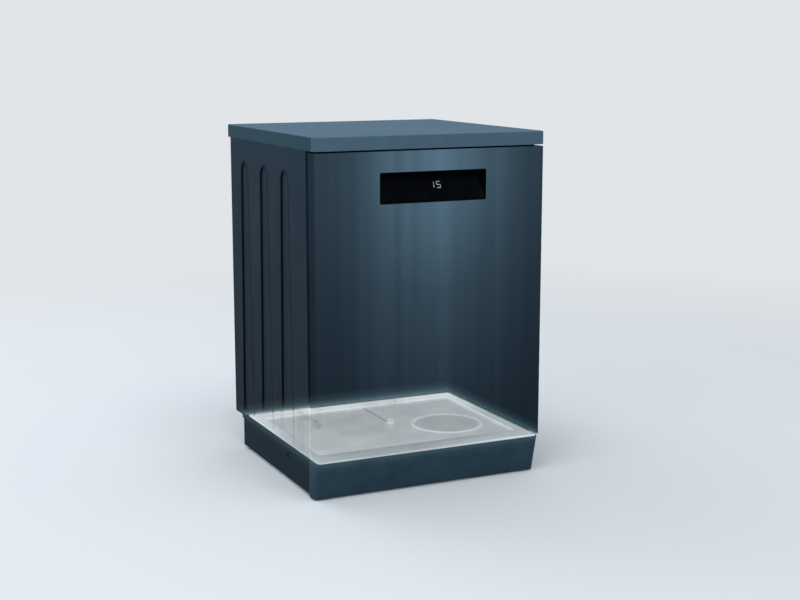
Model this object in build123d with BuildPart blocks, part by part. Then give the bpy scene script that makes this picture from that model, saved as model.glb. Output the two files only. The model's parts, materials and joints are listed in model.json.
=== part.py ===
# Free-standing dishwasher: cabinet, base tray, tub, drop-down door, racks, spray arms and feet.
# Millimetres. X runs to the right of someone facing the door, -Y is the front, Z is up from the floor.
import os
from math import cos, hypot, radians, sin

from build123d import *

os.makedirs("parts", exist_ok=True)

# Cabinet
width = 598.0
depth = 600.0
height = 850.0
sheet = 1.0
worktop_thickness = 32.0
worktop_trim_depth = 12.0
worktop_corner = 10.0
worktop_edge = 3.0
panel_inset = 0.5
panel_front_setback = 48.0
panel_rear_setback = 25.0
panel_bottom = 91.0
panel_flange = 12.0
rib_count = 3
rib_pitch = 142.0
rib_middle = 29.0
rib_foot_width = 76.0
rib_head_width = 47.0
rib_bottom = 108.0
rib_top_gap = 58.0
rib_depth = 3.0

# Base, kick plate, base tray and feet
kick_bottom = 3.0
kick_top = 95.0
kick_wall = 2.0
kick_slope = 23.0
kick_corner = 12.0
kick_return = 55.0
base_bottom = 8.0
base_top = 88.0
base_wall = 3.0
base_front_setback = 40.0
base_rear_setback = 73.0
vent_width = 8.0
vent_height = 18.0
vent_position = -100.0
tray_above_kick = 2.0
tray_sheet = 3.0
tray_front_setback = 6.0
tray_rear_setback = 107.0
tray_side_rim = 27.0
tray_front_rim = 58.0
tray_rear_rim = 53.0
tray_pocket = 5.0
tray_corner = 8.0
ring_radius = 88.0
ring_width = 7.0
ring_height = 2.5
ring_x = 147.0
ring_y = -90.0
channel_x = 15.0
channel_y = -30.0
channel_width = 8.0
channel_depth = 1.6
well_radius = 11.0
float_radius = 9.0
float_height = 14.0
foot_pad_radius = 20.0
foot_pad_height = 10.0
foot_spindle_radius = 6.0
foot_inset = 43.5
foot_front_inset = 25.0
foot_rear_inset = 32.0
foot_clearance = 22.0
foot_boss_wall = 8.0

# Door
door_side_gap = 2.0
door_thickness = 43.0
door_gap_top = 4.0
door_gap_bottom = 6.0
door_edge = 2.0
hinge_setback = 14.0
hinge_side_gap = 7.5
hinge_height = 186.0
hinge_pin_radius = 4.0
hinge_eye_radius = 10.0
hinge_eye_margin = 2.0
hinge_arm_thickness = 4.0
hinge_arm_height = 130.0
liner_sheet = 1.2
liner_recess = 6.0
liner_recess_side = 40.5
liner_recess_border = 40.0
window_width = 276.0
window_height = 73.0
window_drop = 48.6
window_offset = 2.0
window_corner = 4.5
pocket_wall = 4.0
pocket_depth = 28.0
pocket_rise = 16.6
display_sheet = 2.0
strip_height = 14.0
strip_setback = 0.5
button_count = 5
button_pitch = 40.0
button_length = 22.0
button_width = 9.0
button_proud = 0.8
button_travel = 1.5
board_sheet = 1.6
strike_width = 24.0
strike_reach = 13.0
strike_height = 5.0
strike_rise = 3.5

# Detergent and rinse aid dispenser
dispenser_width = 200.0
dispenser_height = 120.0
dispenser_depth = 29.0
dispenser_drop = 92.4
chamber_width = 64.0
chamber_height = 70.0
chamber_depth = 22.0
chamber_margin = 10.0
lid_sheet = 2.4
lid_overlap = 4.0
cap_radius = 20.0
cap_height = 4.0
cap_margin = 16.0

# Tub, seal and what stands in it
tub_side_gap = 29.5
tub_wall = 1.5
tub_front_gap = 6.0
tub_rear_setback = 45.0
tub_top_gap = 34.0
tub_corner = 40.0
tub_flange = 24.0
tub_flange_rise = 28.0
ledge_top = 219.7
trough_side = 41.5
trough_front_edge = 6.0
trough_rear_edge = 8.5
pad_top = 176.0
pad_half = 110.0
pad_depth = 250.0
pad_y = 35.0
seal_width = 10.0
seal_gap = 3.0
hub_y = 2.0
hub_radius = 12.0
filter_x = 50.0
filter_y = 90.0
filter_radius = 38.0
filter_plate_size = 112.0
filter_plate_sheet = 1.2
sump_bore = 50.0
sump_wall = 6.0
sump_depth = 68.0
salt_x = -72.0
salt_y = -50.0
salt_radius = 24.0

# Racks and spray arms
wire = 4.0
rack_front_gap = 25.0
lower_rack_side_gap = 14.5
lower_rack_rear_gap = 27.5
lower_rack_floor = 254.0
lower_rack_height = 142.0
upper_rack_side_gap = 20.5
upper_rack_rear_gap = 31.5
upper_rack_floor = 520.0
upper_rack_height = 120.0
wheel_radius = 16.0
wheel_width = 10.0
wheel_axle_radius = 3.0
wheel_inset = 51.0
cutlery_side_gap = 18.0
cutlery_front_gap = 14.0
cutlery_width = 80.0
lower_arm_reach = 222.0
upper_arm_reach = 195.0
arm_width = 44.0
arm_thickness = 14.0
arm_tip_width = 26.0

# Clearances
running_fit = 0.06
piece_gap = 0.3

# Worked-out places
front = -depth / 2
rear = depth / 2
worktop_bottom = height - worktop_thickness
rib_top = worktop_bottom - rib_top_gap
panel_outer = width / 2 - panel_inset
panel_inner = panel_outer - sheet
panel_front = front + panel_front_setback
panel_rear = rear - panel_rear_setback
door_half = panel_inner - door_side_gap
door_back = front + door_thickness
door_top = worktop_bottom - door_gap_top
door_bottom = kick_top + door_gap_bottom
window_top = door_top - window_drop
window_bottom = window_top - window_height
dispenser_top = window_bottom - dispenser_drop
dispenser_bottom = dispenser_top - dispenser_height
liner_recess_half = door_half - liner_recess_side
hinge_y = front + hinge_setback
skin_inner = door_half - sheet
sweep_radius = hypot(hinge_setback, hinge_height - door_bottom)
kick_half = door_half
base_half = kick_half - kick_wall
base_front = front + base_front_setback
base_rear = rear - base_rear_setback
foot_x = base_half - foot_inset
foot_front_y = base_front + foot_front_inset
foot_rear_y = base_rear - foot_rear_inset
tray_top = kick_top + tray_above_kick
tray_half = base_half - piece_gap
tray_front = front + tray_front_setback
tray_rear = rear - tray_rear_setback
tray_floor = tray_top - tray_pocket
tub_half = panel_inner - tub_side_gap
tub_inner = tub_half - tub_wall
tub_front = door_back + tub_front_gap
tub_rear = rear - tub_rear_setback
tub_back_wall = tub_rear - tub_wall
tub_top = worktop_bottom - tub_top_gap
tub_ceiling = tub_top - tub_wall
flange_half = tub_half + tub_flange
flange_top = tub_top + tub_flange_rise
pad_bottom = pad_top - tub_wall
trough_half = tub_inner - trough_side
trough_front = tub_front + trough_front_edge
trough_rear = tub_back_wall - trough_rear_edge
rack_front = tub_front + rack_front_gap
lower_rack_half = tub_inner - lower_rack_side_gap
lower_rack_rear = tub_back_wall - lower_rack_rear_gap
upper_rack_half = tub_inner - upper_rack_side_gap
upper_rack_rear = tub_back_wall - upper_rack_rear_gap
wheel_front_y = rack_front + wheel_inset
wheel_rear_y = lower_rack_rear - wheel_inset
cutlery_left = -lower_rack_half + cutlery_side_gap
cutlery_front = rack_front + cutlery_front_gap
strip_bottom = door_top - strip_height
liner_bottom = hinge_height + hinge_eye_radius + hinge_eye_margin
liner_front = door_back - liner_sheet


def block(x, y, z, mode=Mode.ADD):
    """Box between two corners, given as its ranges along X, Y and Z."""
    with Locations(((x[0] + x[1]) / 2, (y[0] + y[1]) / 2, (z[0] + z[1]) / 2)):
        Box(x[1] - x[0], y[1] - y[0], z[1] - z[0], mode=mode)


def facing_front(y):
    """Upright plane at this depth: sketch X and Y are the machine's X and Z, and extrusion goes to -Y."""
    return Plane.XZ.offset(-y)


def along_x(x):
    """Upright plane at this width: sketch X and Y are the machine's Y and Z, and extrusion goes to +X."""
    return Plane.YZ.offset(x)


def save(builder, name):
    """Label a finished piece and write it to its own file."""
    builder.part.label = name
    export_step(builder.part, f"parts/{name}.step")


# Worktop: laminated board with rounded rear corners, and a moulded trim along its front edge
trim_rear = front + worktop_trim_depth
with BuildPart() as worktop:
    block((-width / 2, width / 2), (trim_rear, rear), (worktop_bottom, height))
    fillet(worktop.edges().filter_by(Axis.Z).group_by(Axis.Y)[-1], worktop_corner)
    top_edges = worktop.faces().sort_by(Axis.Z)[-1].edges()
    fillet(top_edges.filter_by(lambda edge: edge.center().Y > trim_rear + worktop_edge), worktop_edge)
save(worktop, "worktop")

with BuildPart() as worktop_trim:
    block((-width / 2, width / 2), (front, trim_rear), (worktop_bottom, height))
    fillet(worktop_trim.edges().filter_by(Axis.Z).group_by(Axis.Y)[0], worktop_corner)
    trim_edges = worktop_trim.faces().sort_by(Axis.Z)[-1].edges()
    fillet(trim_edges.filter_by(lambda edge: edge.center().Y < trim_rear - worktop_edge / 2), worktop_edge)
save(worktop_trim, "worktop_trim")

# Side panels: folded sheet with three pressed ribs that narrow towards their round heads
rib_ys = [rib_middle + rib_pitch * (i - (rib_count - 1) / 2) for i in range(rib_count)]


def rib_outline(x, y, margin):
    """Outline of one pressed rib on the upright side plane at x, drawn in by a margin."""
    foot = rib_foot_width / 2 - margin
    head = rib_head_width / 2 - margin
    shoulder = rib_top - rib_head_width / 2
    with BuildSketch(along_x(x)) as outline:
        with BuildLine():
            Polyline((y - head, shoulder), (y - foot, rib_bottom + margin), (y + foot, rib_bottom + margin),
                     (y + head, shoulder))
            ThreePointArc((y - head, shoulder), (y, shoulder + head), (y + head, shoulder))
        make_face()
    return outline.sketch


for name, side in (("side_panel_left", -1), ("side_panel_right", 1)):
    outside = side * panel_outer
    inside = side * panel_inner
    with BuildPart() as side_panel:
        block(sorted((outside, inside)), (panel_front, panel_rear), (panel_bottom, worktop_bottom))
        flange_x = sorted((inside, inside - side * panel_flange))
        block(flange_x, (panel_front, panel_front + sheet), (ledge_top, worktop_bottom))
        for rib_y in rib_ys:
            extrude(rib_outline(inside, rib_y, 0), amount=-side * rib_depth)
        for rib_y in rib_ys:
            extrude(rib_outline(outside, rib_y, sheet), amount=-side * rib_depth, mode=Mode.SUBTRACT)
    save(side_panel, name)

# Rear panel: flat sheet with folded side flanges, two stiffening beads and holes for the connections
rear_panel_gap = 3.0
rear_panel_bottom = tray_top + rear_panel_gap
rear_flange = 15.0
bead_half_width = 20.0
bead_x = 120.0
bead_depth = 4.0
bead_bottom = 260.0
connection_height = 140.0
connection_inset = 62.5
connection_pitch = 50.0
inlet_x = -panel_inner + connection_inset
drain_x = inlet_x + connection_pitch
gland_x = panel_inner - connection_inset
inlet_thread_radius = 13.2
drain_spigot_radius = 9.5
gland_outer_radius = 10.0
gland_bore_radius = 4.5
panel_face = panel_rear - sheet
with BuildPart() as rear_panel:
    block((-panel_inner, panel_inner), (panel_face, panel_rear), (rear_panel_bottom, worktop_bottom))
    for side in (-1, 1):
        flange_x = sorted((side * panel_inner, side * (panel_inner - sheet)))
        block(flange_x, (panel_face - rear_flange, panel_face), (rear_panel_bottom, worktop_bottom))
        bead_range = (side * bead_x - bead_half_width, side * bead_x + bead_half_width)
        block(bead_range, (panel_face - bead_depth, panel_face), (bead_bottom, rib_top))
        pressed = (bead_range[0] + sheet, bead_range[1] - sheet)
        block(pressed, (panel_face - bead_depth + sheet, panel_rear), (bead_bottom + sheet, rib_top - sheet),
              mode=Mode.SUBTRACT)
    connections = ((inlet_x, inlet_thread_radius), (drain_x, drain_spigot_radius),
                   (gland_x, gland_outer_radius))
    for hole_x, hole_radius in connections:
        with BuildSketch(facing_front(panel_rear)):
            with Locations((hole_x, connection_height)):
                Circle(hole_radius + piece_gap)
        extrude(amount=2 * sheet, mode=Mode.SUBTRACT)
save(rear_panel, "rear_panel")

# Base frame: open plastic frame with cross ribs, bosses for the feet and ledges that carry the side panels
foot_places = {
    "foot_front_left": (-foot_x, foot_front_y),
    "foot_front_right": (foot_x, foot_front_y),
    "foot_rear_left": (-foot_x, foot_rear_y),
    "foot_rear_right": (foot_x, foot_rear_y),
}
boss_bottom = foot_pad_height + foot_clearance
ledge_height = kick_top - panel_bottom
rib_bottom_gap = 10.0
with BuildPart() as base_frame:
    block((-base_half, base_half), (base_front, base_rear), (base_bottom, base_top))
    block((-base_half + base_wall, base_half - base_wall), (base_front + base_wall, base_rear - base_wall),
          (base_bottom, base_top), mode=Mode.SUBTRACT)
    for rib_y in (foot_front_y, (foot_front_y + foot_rear_y) / 2, foot_rear_y):
        block((-base_half + base_wall, base_half - base_wall),
              (rib_y - base_wall / 2, rib_y + base_wall / 2),
              (boss_bottom + rib_bottom_gap, base_top))
    block((-base_wall / 2, base_wall / 2), (foot_front_y, foot_rear_y),
          (boss_bottom + rib_bottom_gap, base_top))
    for boss_x, boss_y in foot_places.values():
        with BuildSketch(Plane.XY.offset(boss_bottom)):
            with Locations((boss_x, boss_y)):
                Circle(foot_spindle_radius + foot_boss_wall)
        extrude(amount=base_top - boss_bottom)
    for boss_x, boss_y in foot_places.values():
        with BuildSketch(Plane.XY.offset(boss_bottom)):
            with Locations((boss_x, boss_y)):
                Circle(foot_spindle_radius + running_fit)
        extrude(amount=base_top - boss_bottom, mode=Mode.SUBTRACT)
    for side in (-1, 1):
        block(sorted((side * base_half, side * panel_inner)), (front + kick_return + piece_gap, base_rear),
              (panel_bottom - 2 * ledge_height, kick_top))
    with BuildSketch(along_x(-base_half)):
        with Locations((vent_position, (base_bottom + base_top) / 2 + vent_height)):
            SlotOverall(vent_height, vent_width, rotation=90)
    extrude(amount=2 * base_half, mode=Mode.SUBTRACT)
save(base_frame, "base_frame")

# Kick plate: leaning plate with rounded corners that wraps round the front of the base
kick_end = front + kick_return
kick_back = kick_end + 2 * kick_corner


def kick_section(z, setback, inset):
    """Rounded outline of the kick plate at one height, drawn in by a wall."""
    start = front + setback + inset
    with BuildSketch(Plane.XY.offset(z)) as section:
        with Locations((0, (start + kick_back) / 2)):
            RectangleRounded(2 * (kick_half - inset), kick_back - start, kick_corner - inset)
    return section.sketch


with BuildPart() as kick_plate:
    loft([kick_section(kick_bottom, kick_slope, 0), kick_section(kick_top, 0, 0)], ruled=True)
    inner_sections = [kick_section(kick_bottom, kick_slope, kick_wall), kick_section(kick_top, 0, kick_wall)]
    loft(inner_sections, ruled=True, mode=Mode.SUBTRACT)
    block((-width, width), (kick_end, kick_end + depth), (0, height), mode=Mode.SUBTRACT)
save(kick_plate, "kick_plate")

# Base tray: shallow leak tray with a wide rim, a raised ring and a channel that ends in the float's well
pocket_half = tray_half - tray_side_rim
pocket_front = tray_front + tray_front_rim
pocket_rear = tray_rear - tray_rear_rim
tray_centre = (0, (tray_front + tray_rear) / 2)
pocket_centre = (0, (pocket_front + pocket_rear) / 2)
tray_length = tray_rear - tray_front
pocket_length = pocket_rear - pocket_front
with BuildPart() as base_tray:
    with BuildSketch(Plane.XY.offset(base_top)):
        with Locations(tray_centre):
            RectangleRounded(2 * tray_half, tray_length, tray_corner)
    extrude(amount=tray_top - base_top)
    with BuildSketch(Plane.XY.offset(tray_floor)):
        with Locations(pocket_centre):
            RectangleRounded(2 * pocket_half, pocket_length, tray_corner)
    extrude(amount=tray_pocket, mode=Mode.SUBTRACT)
    with BuildSketch(Plane.XY.offset(base_top)):
        with Locations(tray_centre):
            RectangleRounded(2 * (tray_half - tray_sheet), tray_length - 2 * tray_sheet,
                             tray_corner - tray_sheet)
        with Locations(pocket_centre):
            RectangleRounded(2 * (pocket_half + tray_sheet), pocket_length + 2 * tray_sheet,
                             tray_corner + tray_sheet, mode=Mode.SUBTRACT)
    extrude(amount=tray_top - tray_sheet - base_top, mode=Mode.SUBTRACT)
    with BuildSketch(Plane.XY.offset(tray_floor)):
        with Locations((ring_x, ring_y)):
            Circle(ring_radius + ring_width / 2)
            Circle(ring_radius - ring_width / 2, mode=Mode.SUBTRACT)
    extrude(amount=ring_height)
    with BuildSketch(Plane.XY.offset(tray_floor)):
        with Locations((channel_x, (channel_y + pocket_rear) / 2)):
            Rectangle(channel_width, pocket_rear - channel_y)
        with Locations((channel_x, channel_y)):
            Circle(well_radius)
    extrude(amount=-channel_depth, mode=Mode.SUBTRACT)
save(base_tray, "base_tray")

# Leak float: domed button that lies in the well and lifts when water stands in the tray
well_floor = tray_floor - channel_depth
float_bottom = well_floor + piece_gap
float_stem_radius = 3.0
float_shoulder = 8.4
float_dome = 13.3
with BuildPart() as leak_float:
    with BuildSketch(Plane.XZ):
        with BuildLine():
            Polyline((0, float_bottom), (float_radius, float_bottom),
                     (float_radius, float_bottom + float_shoulder),
                     (float_stem_radius, float_bottom + float_dome),
                     (float_stem_radius, float_bottom + float_height), (0, float_bottom + float_height),
                     close=True)
        make_face()
    revolve(axis=Axis.Z)
leak_float.part = leak_float.part.moved(Location((channel_x, channel_y, 0)))
save(leak_float, "leak_float")

# Levelling feet: round pad, hexagon for a spanner and a threaded spindle in the base's boss
foot_hex_radius = 11.0
foot_hex_height = 8.0
foot_edge = 2.0
spindle_gap = 12.0
spindle_top = base_top - spindle_gap
for name, (foot_at_x, foot_at_y) in foot_places.items():
    with BuildPart() as foot:
        with BuildSketch(Plane.XY):
            with Locations((foot_at_x, foot_at_y)):
                Circle(foot_pad_radius)
        extrude(amount=foot_pad_height)
        chamfer(foot.edges().group_by(Axis.Z)[-1], foot_edge)
        with BuildSketch(Plane.XY.offset(foot_pad_height)):
            with Locations((foot_at_x, foot_at_y)):
                RegularPolygon(foot_hex_radius, 6)
        extrude(amount=foot_hex_height)
        with BuildSketch(Plane.XY.offset(foot_pad_height + foot_hex_height)):
            with Locations((foot_at_x, foot_at_y)):
                Circle(foot_spindle_radius)
        extrude(amount=spindle_top - foot_pad_height - foot_hex_height)
    save(foot, name)

# Door skin: folded front sheet with side returns, a short bottom flange and the opening for the window
bottom_flange = 5.0
corner_cut = 15.0
with BuildPart() as door_skin:
    block((-door_half, door_half), (front, door_back), (door_bottom, door_top))
    fillet(door_skin.edges().filter_by(Axis.Z).group_by(Axis.Y)[0], door_edge)
    block((-skin_inner, skin_inner), (front + sheet, door_back), (door_bottom + sheet, door_top),
          mode=Mode.SUBTRACT)
    block((-skin_inner, skin_inner), (front + bottom_flange, door_back), (door_bottom, door_bottom + sheet),
          mode=Mode.SUBTRACT)
    with BuildSketch(along_x(-door_half)):
        with BuildLine():
            Polyline((door_back - corner_cut, door_bottom), (door_back, door_bottom),
                     (door_back, door_bottom + corner_cut), close=True)
        make_face()
    extrude(amount=2 * door_half, mode=Mode.SUBTRACT)
    with BuildSketch(facing_front(front)):
        with Locations((window_offset, window_bottom + window_height / 2)):
            RectangleRounded(window_width, window_height, window_corner)
    extrude(amount=-sheet, mode=Mode.SUBTRACT)
save(door_skin, "door_skin")

# Door liner: inner door sheet with a pressed recess and a cut-out for the dispenser
recess_face = door_back - liner_recess
recess_bottom = liner_bottom + liner_recess_border
recess_top = strip_bottom - liner_recess_border / 2
with BuildPart() as door_liner:
    block((-skin_inner, skin_inner), (liner_front, door_back), (liner_bottom, strip_bottom))
    block((-liner_recess_half, liner_recess_half), (recess_face - liner_sheet, door_back),
          (recess_bottom, recess_top))
    block((-liner_recess_half + liner_sheet, liner_recess_half - liner_sheet), (recess_face, door_back),
          (recess_bottom + liner_sheet, recess_top - liner_sheet), mode=Mode.SUBTRACT)
    block((-dispenser_width / 2 - piece_gap, dispenser_width / 2 + piece_gap),
          (recess_face - liner_sheet, recess_face),
          (dispenser_bottom - piece_gap, dispenser_top + piece_gap), mode=Mode.SUBTRACT)
save(door_liner, "door_liner")

# Handle pocket: moulded well with a leaning wall behind the window, and the grip channel above it
pocket_back = front + pocket_depth
pocket_ceiling = window_top + pocket_rise
lip_lining = 1.5
display_run = 24.0
display_rise = 55.6
pocket_step = 12.0


def pocket_profile(x, wall):
    """Side profile of the handle pocket's hollow on the upright plane at x, grown by a wall."""
    lip_back = front + sheet + lip_lining
    with BuildSketch(along_x(x)) as profile:
        with BuildLine():
            Polyline((front, window_bottom), (front + display_run, window_bottom + display_rise),
                     (pocket_back, window_bottom + display_rise + pocket_step),
                     (pocket_back, pocket_ceiling),
                     (lip_back, pocket_ceiling), (lip_back, window_top), (front, window_top), close=True)
        make_face()
        if wall > 0:
            offset(amount=wall, kind=Kind.INTERSECTION)
    return profile.sketch


window_left = window_offset - window_width / 2
window_right = window_offset + window_width / 2
grip_joint = window_bottom + display_rise + pocket_step


def pocket_walls():
    """Walls of the whole pocket, trimmed to the back of the door's sheet."""
    extrude(pocket_profile(window_left - pocket_wall, pocket_wall), amount=window_width + 2 * pocket_wall)
    extrude(pocket_profile(window_left, 0), amount=window_width, mode=Mode.SUBTRACT)
    block((-width, width), (front - pocket_depth, front + sheet), (0, height), mode=Mode.SUBTRACT)


with BuildPart() as handle_pocket:
    pocket_walls()
    block((-width, width), (front, door_back), (grip_joint, height), mode=Mode.SUBTRACT)
save(handle_pocket, "handle_pocket")

with BuildPart() as handle_grip:
    pocket_walls()
    block((-width, width), (front, door_back), (0, grip_joint), mode=Mode.SUBTRACT)
save(handle_grip, "handle_grip")

# Display window: dark plate that lies on the pocket's leaning wall
slope_length = hypot(display_run, display_rise)
slope_y = display_run / slope_length
slope_z = display_rise / slope_length
display_start = 6.0
display_end_gap = 0.5
display_end = slope_length - display_end_gap


def on_slope(along, out):
    """Point on the leaning wall, along its slope and out from it, as depth and height."""
    return (front + along * slope_y - out * slope_z, window_bottom + along * slope_z + out * slope_y)


with BuildPart() as display_window:
    with BuildSketch(along_x(window_left + piece_gap)):
        with BuildLine():
            Polyline(on_slope(display_start, 0), on_slope(display_end, 0),
                     on_slope(display_end, display_sheet),
                     on_slope(display_start, display_sheet), close=True)
        make_face()
    extrude(amount=window_width - 2 * piece_gap)
save(display_window, "display_window")

# Control strip: top edge of the door, with a slot for each push button
strip_top = door_top - strip_setback
button_y = (front + door_back) / 2
button_xs = [button_pitch * (i - (button_count - 1) / 2) for i in range(button_count)]
button_corner = 3.0
with BuildPart() as control_strip:
    block((-skin_inner, skin_inner), (front + sheet, door_back), (strip_bottom, strip_top))
    with BuildSketch(Plane.XY.offset(strip_bottom)):
        for button_x in button_xs:
            with Locations((button_x, button_y)):
                RectangleRounded(button_length + 2 * piece_gap, button_width + 2 * piece_gap,
                                 button_corner + piece_gap)
    extrude(amount=strip_height, mode=Mode.SUBTRACT)
save(control_strip, "control_strip")

button_names = ("button_power", "button_program", "button_half_load", "button_delay", "button_start")
button_bottom = strip_bottom + button_travel + piece_gap
button_edge = 0.8
for name, button_x in zip(button_names, button_xs):
    with BuildPart() as button:
        with BuildSketch(Plane.XY.offset(button_bottom)):
            with Locations((button_x, button_y)):
                RectangleRounded(button_length, button_width, button_corner)
        extrude(amount=strip_top + button_proud - button_bottom)
        chamfer(button.edges().group_by(Axis.Z)[-1], button_edge)
    save(button, name)

# Control board: circuit board with its display lead block, under the control strip
board_half_length = 120.0
board_half_width = 14.0
board_block = 8.0
with BuildPart() as control_board:
    block((-board_half_length, board_half_length),
          (button_y - board_half_width, button_y + board_half_width),
          (strip_bottom - board_sheet, strip_bottom))
    for block_x in (-board_half_length / 2, board_half_length / 2):
        block((block_x - board_block, block_x + board_block),
              (button_y - board_block, button_y + board_block),
              (strip_bottom - board_sheet - board_block / 2, strip_bottom - board_sheet))
save(control_board, "control_board")

# Door strike: hook on the door's top edge that enters the latch
strike_bottom = strip_bottom + strike_rise
strike_tooth = 3.0
with BuildPart() as door_strike:
    with BuildSketch(along_x(-strike_width / 2)):
        with BuildLine():
            Polyline((door_back, strike_bottom), (door_back + strike_reach - strike_tooth, strike_bottom),
                     (door_back + strike_reach, strike_bottom + strike_height / 2),
                     (door_back + strike_reach - strike_tooth, strike_bottom + strike_height),
                     (door_back, strike_bottom + strike_height), close=True)
        make_face()
    extrude(amount=strike_width)
    with BuildSketch(Plane.XY.offset(strike_bottom)):
        with Locations((0, door_back + strike_reach / 2)):
            Rectangle(strike_width / 2, strike_reach / 3)
    extrude(amount=strike_height, mode=Mode.SUBTRACT)
save(door_strike, "door_strike")

# Hinges: arms on the door, brackets on the base, pins through both and a balance spring on each side
hinge_plane = skin_inner - hinge_side_gap
arm_outer = hinge_plane - piece_gap
arm_inner = arm_outer - hinge_arm_thickness
bracket_thickness = 4.0
lever_reach = 34.0
lever_width = 12.0
lever_pin_radius = 2.5
lever_pin_length = 7.0
lever_y = hinge_y + lever_reach
with BuildPart() as hinge_arms:
    for side in (-1, 1):
        with BuildSketch(along_x(side * arm_inner)):
            with BuildLine():
                Polyline((hinge_y - lever_width / 2, hinge_height),
                         (hinge_y + hinge_eye_radius, hinge_height),
                         (liner_front, hinge_height + 3 * hinge_eye_radius),
                         (liner_front, hinge_height + hinge_arm_height),
                         (hinge_y - lever_width / 2, hinge_height + hinge_arm_height), close=True)
            make_face()
            with Locations((hinge_y, hinge_height)):
                Circle(hinge_eye_radius)
            with Locations((hinge_y + lever_reach / 2, hinge_height)):
                SlotCenterToCenter(lever_reach, lever_width)
            with Locations((hinge_y, hinge_height)):
                Circle(hinge_pin_radius + running_fit, mode=Mode.SUBTRACT)
        extrude(amount=side * hinge_arm_thickness)
        with BuildSketch(along_x(side * arm_inner)):
            with Locations((lever_y, hinge_height)):
                Circle(lever_pin_radius)
        extrude(amount=-side * lever_pin_length)
save(hinge_arms, "hinge_arms")

bracket_sweep_gap = 4.0
bracket_front = hinge_y + sweep_radius + bracket_sweep_gap
bracket_post = 36.0
bracket_rear = -40.0
bracket_rail = 26.0
bracket_neck = 7.0
neck_bottom = hinge_height - bracket_neck + 1.0
anchor_width = 20.0
anchor_y = bracket_rear - anchor_width / 2
with BuildPart() as hinge_brackets:
    for side in (-1, 1):
        with BuildSketch(along_x(side * hinge_plane)):
            with Locations((hinge_y, hinge_height)):
                Circle(hinge_eye_radius)
            with BuildLine():
                Polyline((hinge_y, neck_bottom), (bracket_front, neck_bottom),
                         (bracket_front, tray_top), (bracket_rear, tray_top),
                         (bracket_rear, hinge_height + bracket_neck),
                         (bracket_rear - anchor_width, hinge_height + bracket_neck),
                         (bracket_rear - anchor_width, tray_top + bracket_rail),
                         (bracket_front + bracket_post, tray_top + bracket_rail),
                         (bracket_front + bracket_post, hinge_height + bracket_neck),
                         (hinge_y, hinge_height + bracket_neck), close=True)
            make_face()
            with Locations((hinge_y, hinge_height)):
                Circle(hinge_pin_radius + running_fit, mode=Mode.SUBTRACT)
        extrude(amount=side * bracket_thickness)
        with BuildSketch(along_x(side * hinge_plane)):
            with Locations((anchor_y, hinge_height)):
                Circle(lever_pin_radius)
        extrude(amount=-side * (lever_pin_length + hinge_arm_thickness))
save(hinge_brackets, "hinge_brackets")

pin_head_radius = 6.5
pin_head = 2.0
with BuildPart() as hinge_pins:
    for side in (-1, 1):
        with BuildSketch(along_x(side * (arm_inner - 2 * pin_head))):
            with Locations((hinge_y, hinge_height)):
                Circle(hinge_pin_radius)
        extrude(amount=side * (hinge_plane + bracket_thickness + pin_head - arm_inner + 2 * pin_head))
        with BuildSketch(along_x(side * (hinge_plane + bracket_thickness))):
            with Locations((hinge_y, hinge_height)):
                Circle(pin_head_radius)
        extrude(amount=side * pin_head)
save(hinge_pins, "hinge_pins")

spring_radius = 5.5
spring_eye_radius = 5.0
spring_eye_width = 3.6
spring_x = arm_inner - piece_gap - spring_eye_width / 2
spring_start = lever_y + 3 * spring_eye_radius
spring_end = anchor_y - 3 * spring_eye_radius
with BuildPart() as door_springs:
    for side in (-1, 1):
        with BuildSketch(facing_front(spring_end)):
            with Locations((side * spring_x, hinge_height)):
                Circle(spring_radius)
        extrude(amount=spring_end - spring_start)
        for eye_y, neck_y in ((lever_y, spring_start), (anchor_y, spring_end)):
            with BuildSketch(along_x(side * (spring_x - spring_eye_width / 2))):
                with Locations((eye_y, hinge_height)):
                    Circle(spring_eye_radius)
                with Locations(((eye_y + neck_y) / 2, hinge_height)):
                    Rectangle(abs(neck_y - eye_y), spring_eye_width)
                with Locations((eye_y, hinge_height)):
                    Circle(lever_pin_radius + running_fit, mode=Mode.SUBTRACT)
            extrude(amount=side * spring_eye_width)
save(door_springs, "door_springs")

# Dispenser: moulded body in the liner with a detergent chamber, a sliding lid and a rinse aid cap
bezel = 8.0
bezel_sheet = 3.0
bezel_face = recess_face + bezel_sheet
dispenser_middle = dispenser_bottom + dispenser_height / 2
chamber_x = -dispenser_width / 2 + chamber_width / 2 + chamber_margin
cap_x = dispenser_width / 2 - cap_radius - cap_margin
lid_half_width = chamber_width / 2 + lid_overlap
lid_half_height = chamber_height / 2 + lid_overlap
lid_stop = 2.0
lid_travel = chamber_width - lid_stop
guide_width = 4.0
guide_height = lid_sheet + 2 * piece_gap
cap_spigot = 14.0
cap_spigot_depth = 6.0
with BuildPart() as dispenser_housing:
    block((-dispenser_width / 2, dispenser_width / 2), (recess_face - dispenser_depth, recess_face),
          (dispenser_bottom, dispenser_top))
    with BuildSketch(facing_front(bezel_face)):
        with Locations((0, dispenser_middle)):
            RectangleRounded(dispenser_width + 2 * bezel, dispenser_height + 2 * bezel, bezel)
    extrude(amount=bezel_sheet)
    for side in (-1, 1):
        guide_z = dispenser_middle + side * (lid_half_height + piece_gap + guide_width / 2)
        block((chamber_x - lid_half_width, chamber_x + lid_half_width + lid_travel),
              (bezel_face, bezel_face + guide_height),
              (guide_z - guide_width / 2, guide_z + guide_width / 2))
    block((chamber_x - chamber_width / 2, chamber_x + chamber_width / 2),
          (bezel_face - chamber_depth, bezel_face),
          (dispenser_middle - chamber_height / 2, dispenser_middle + chamber_height / 2), mode=Mode.SUBTRACT)
    with BuildSketch(facing_front(bezel_face)):
        with Locations((cap_x, dispenser_middle)):
            Circle(cap_spigot + running_fit)
    extrude(amount=cap_spigot_depth + piece_gap, mode=Mode.SUBTRACT)
save(dispenser_housing, "dispenser_housing")

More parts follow.
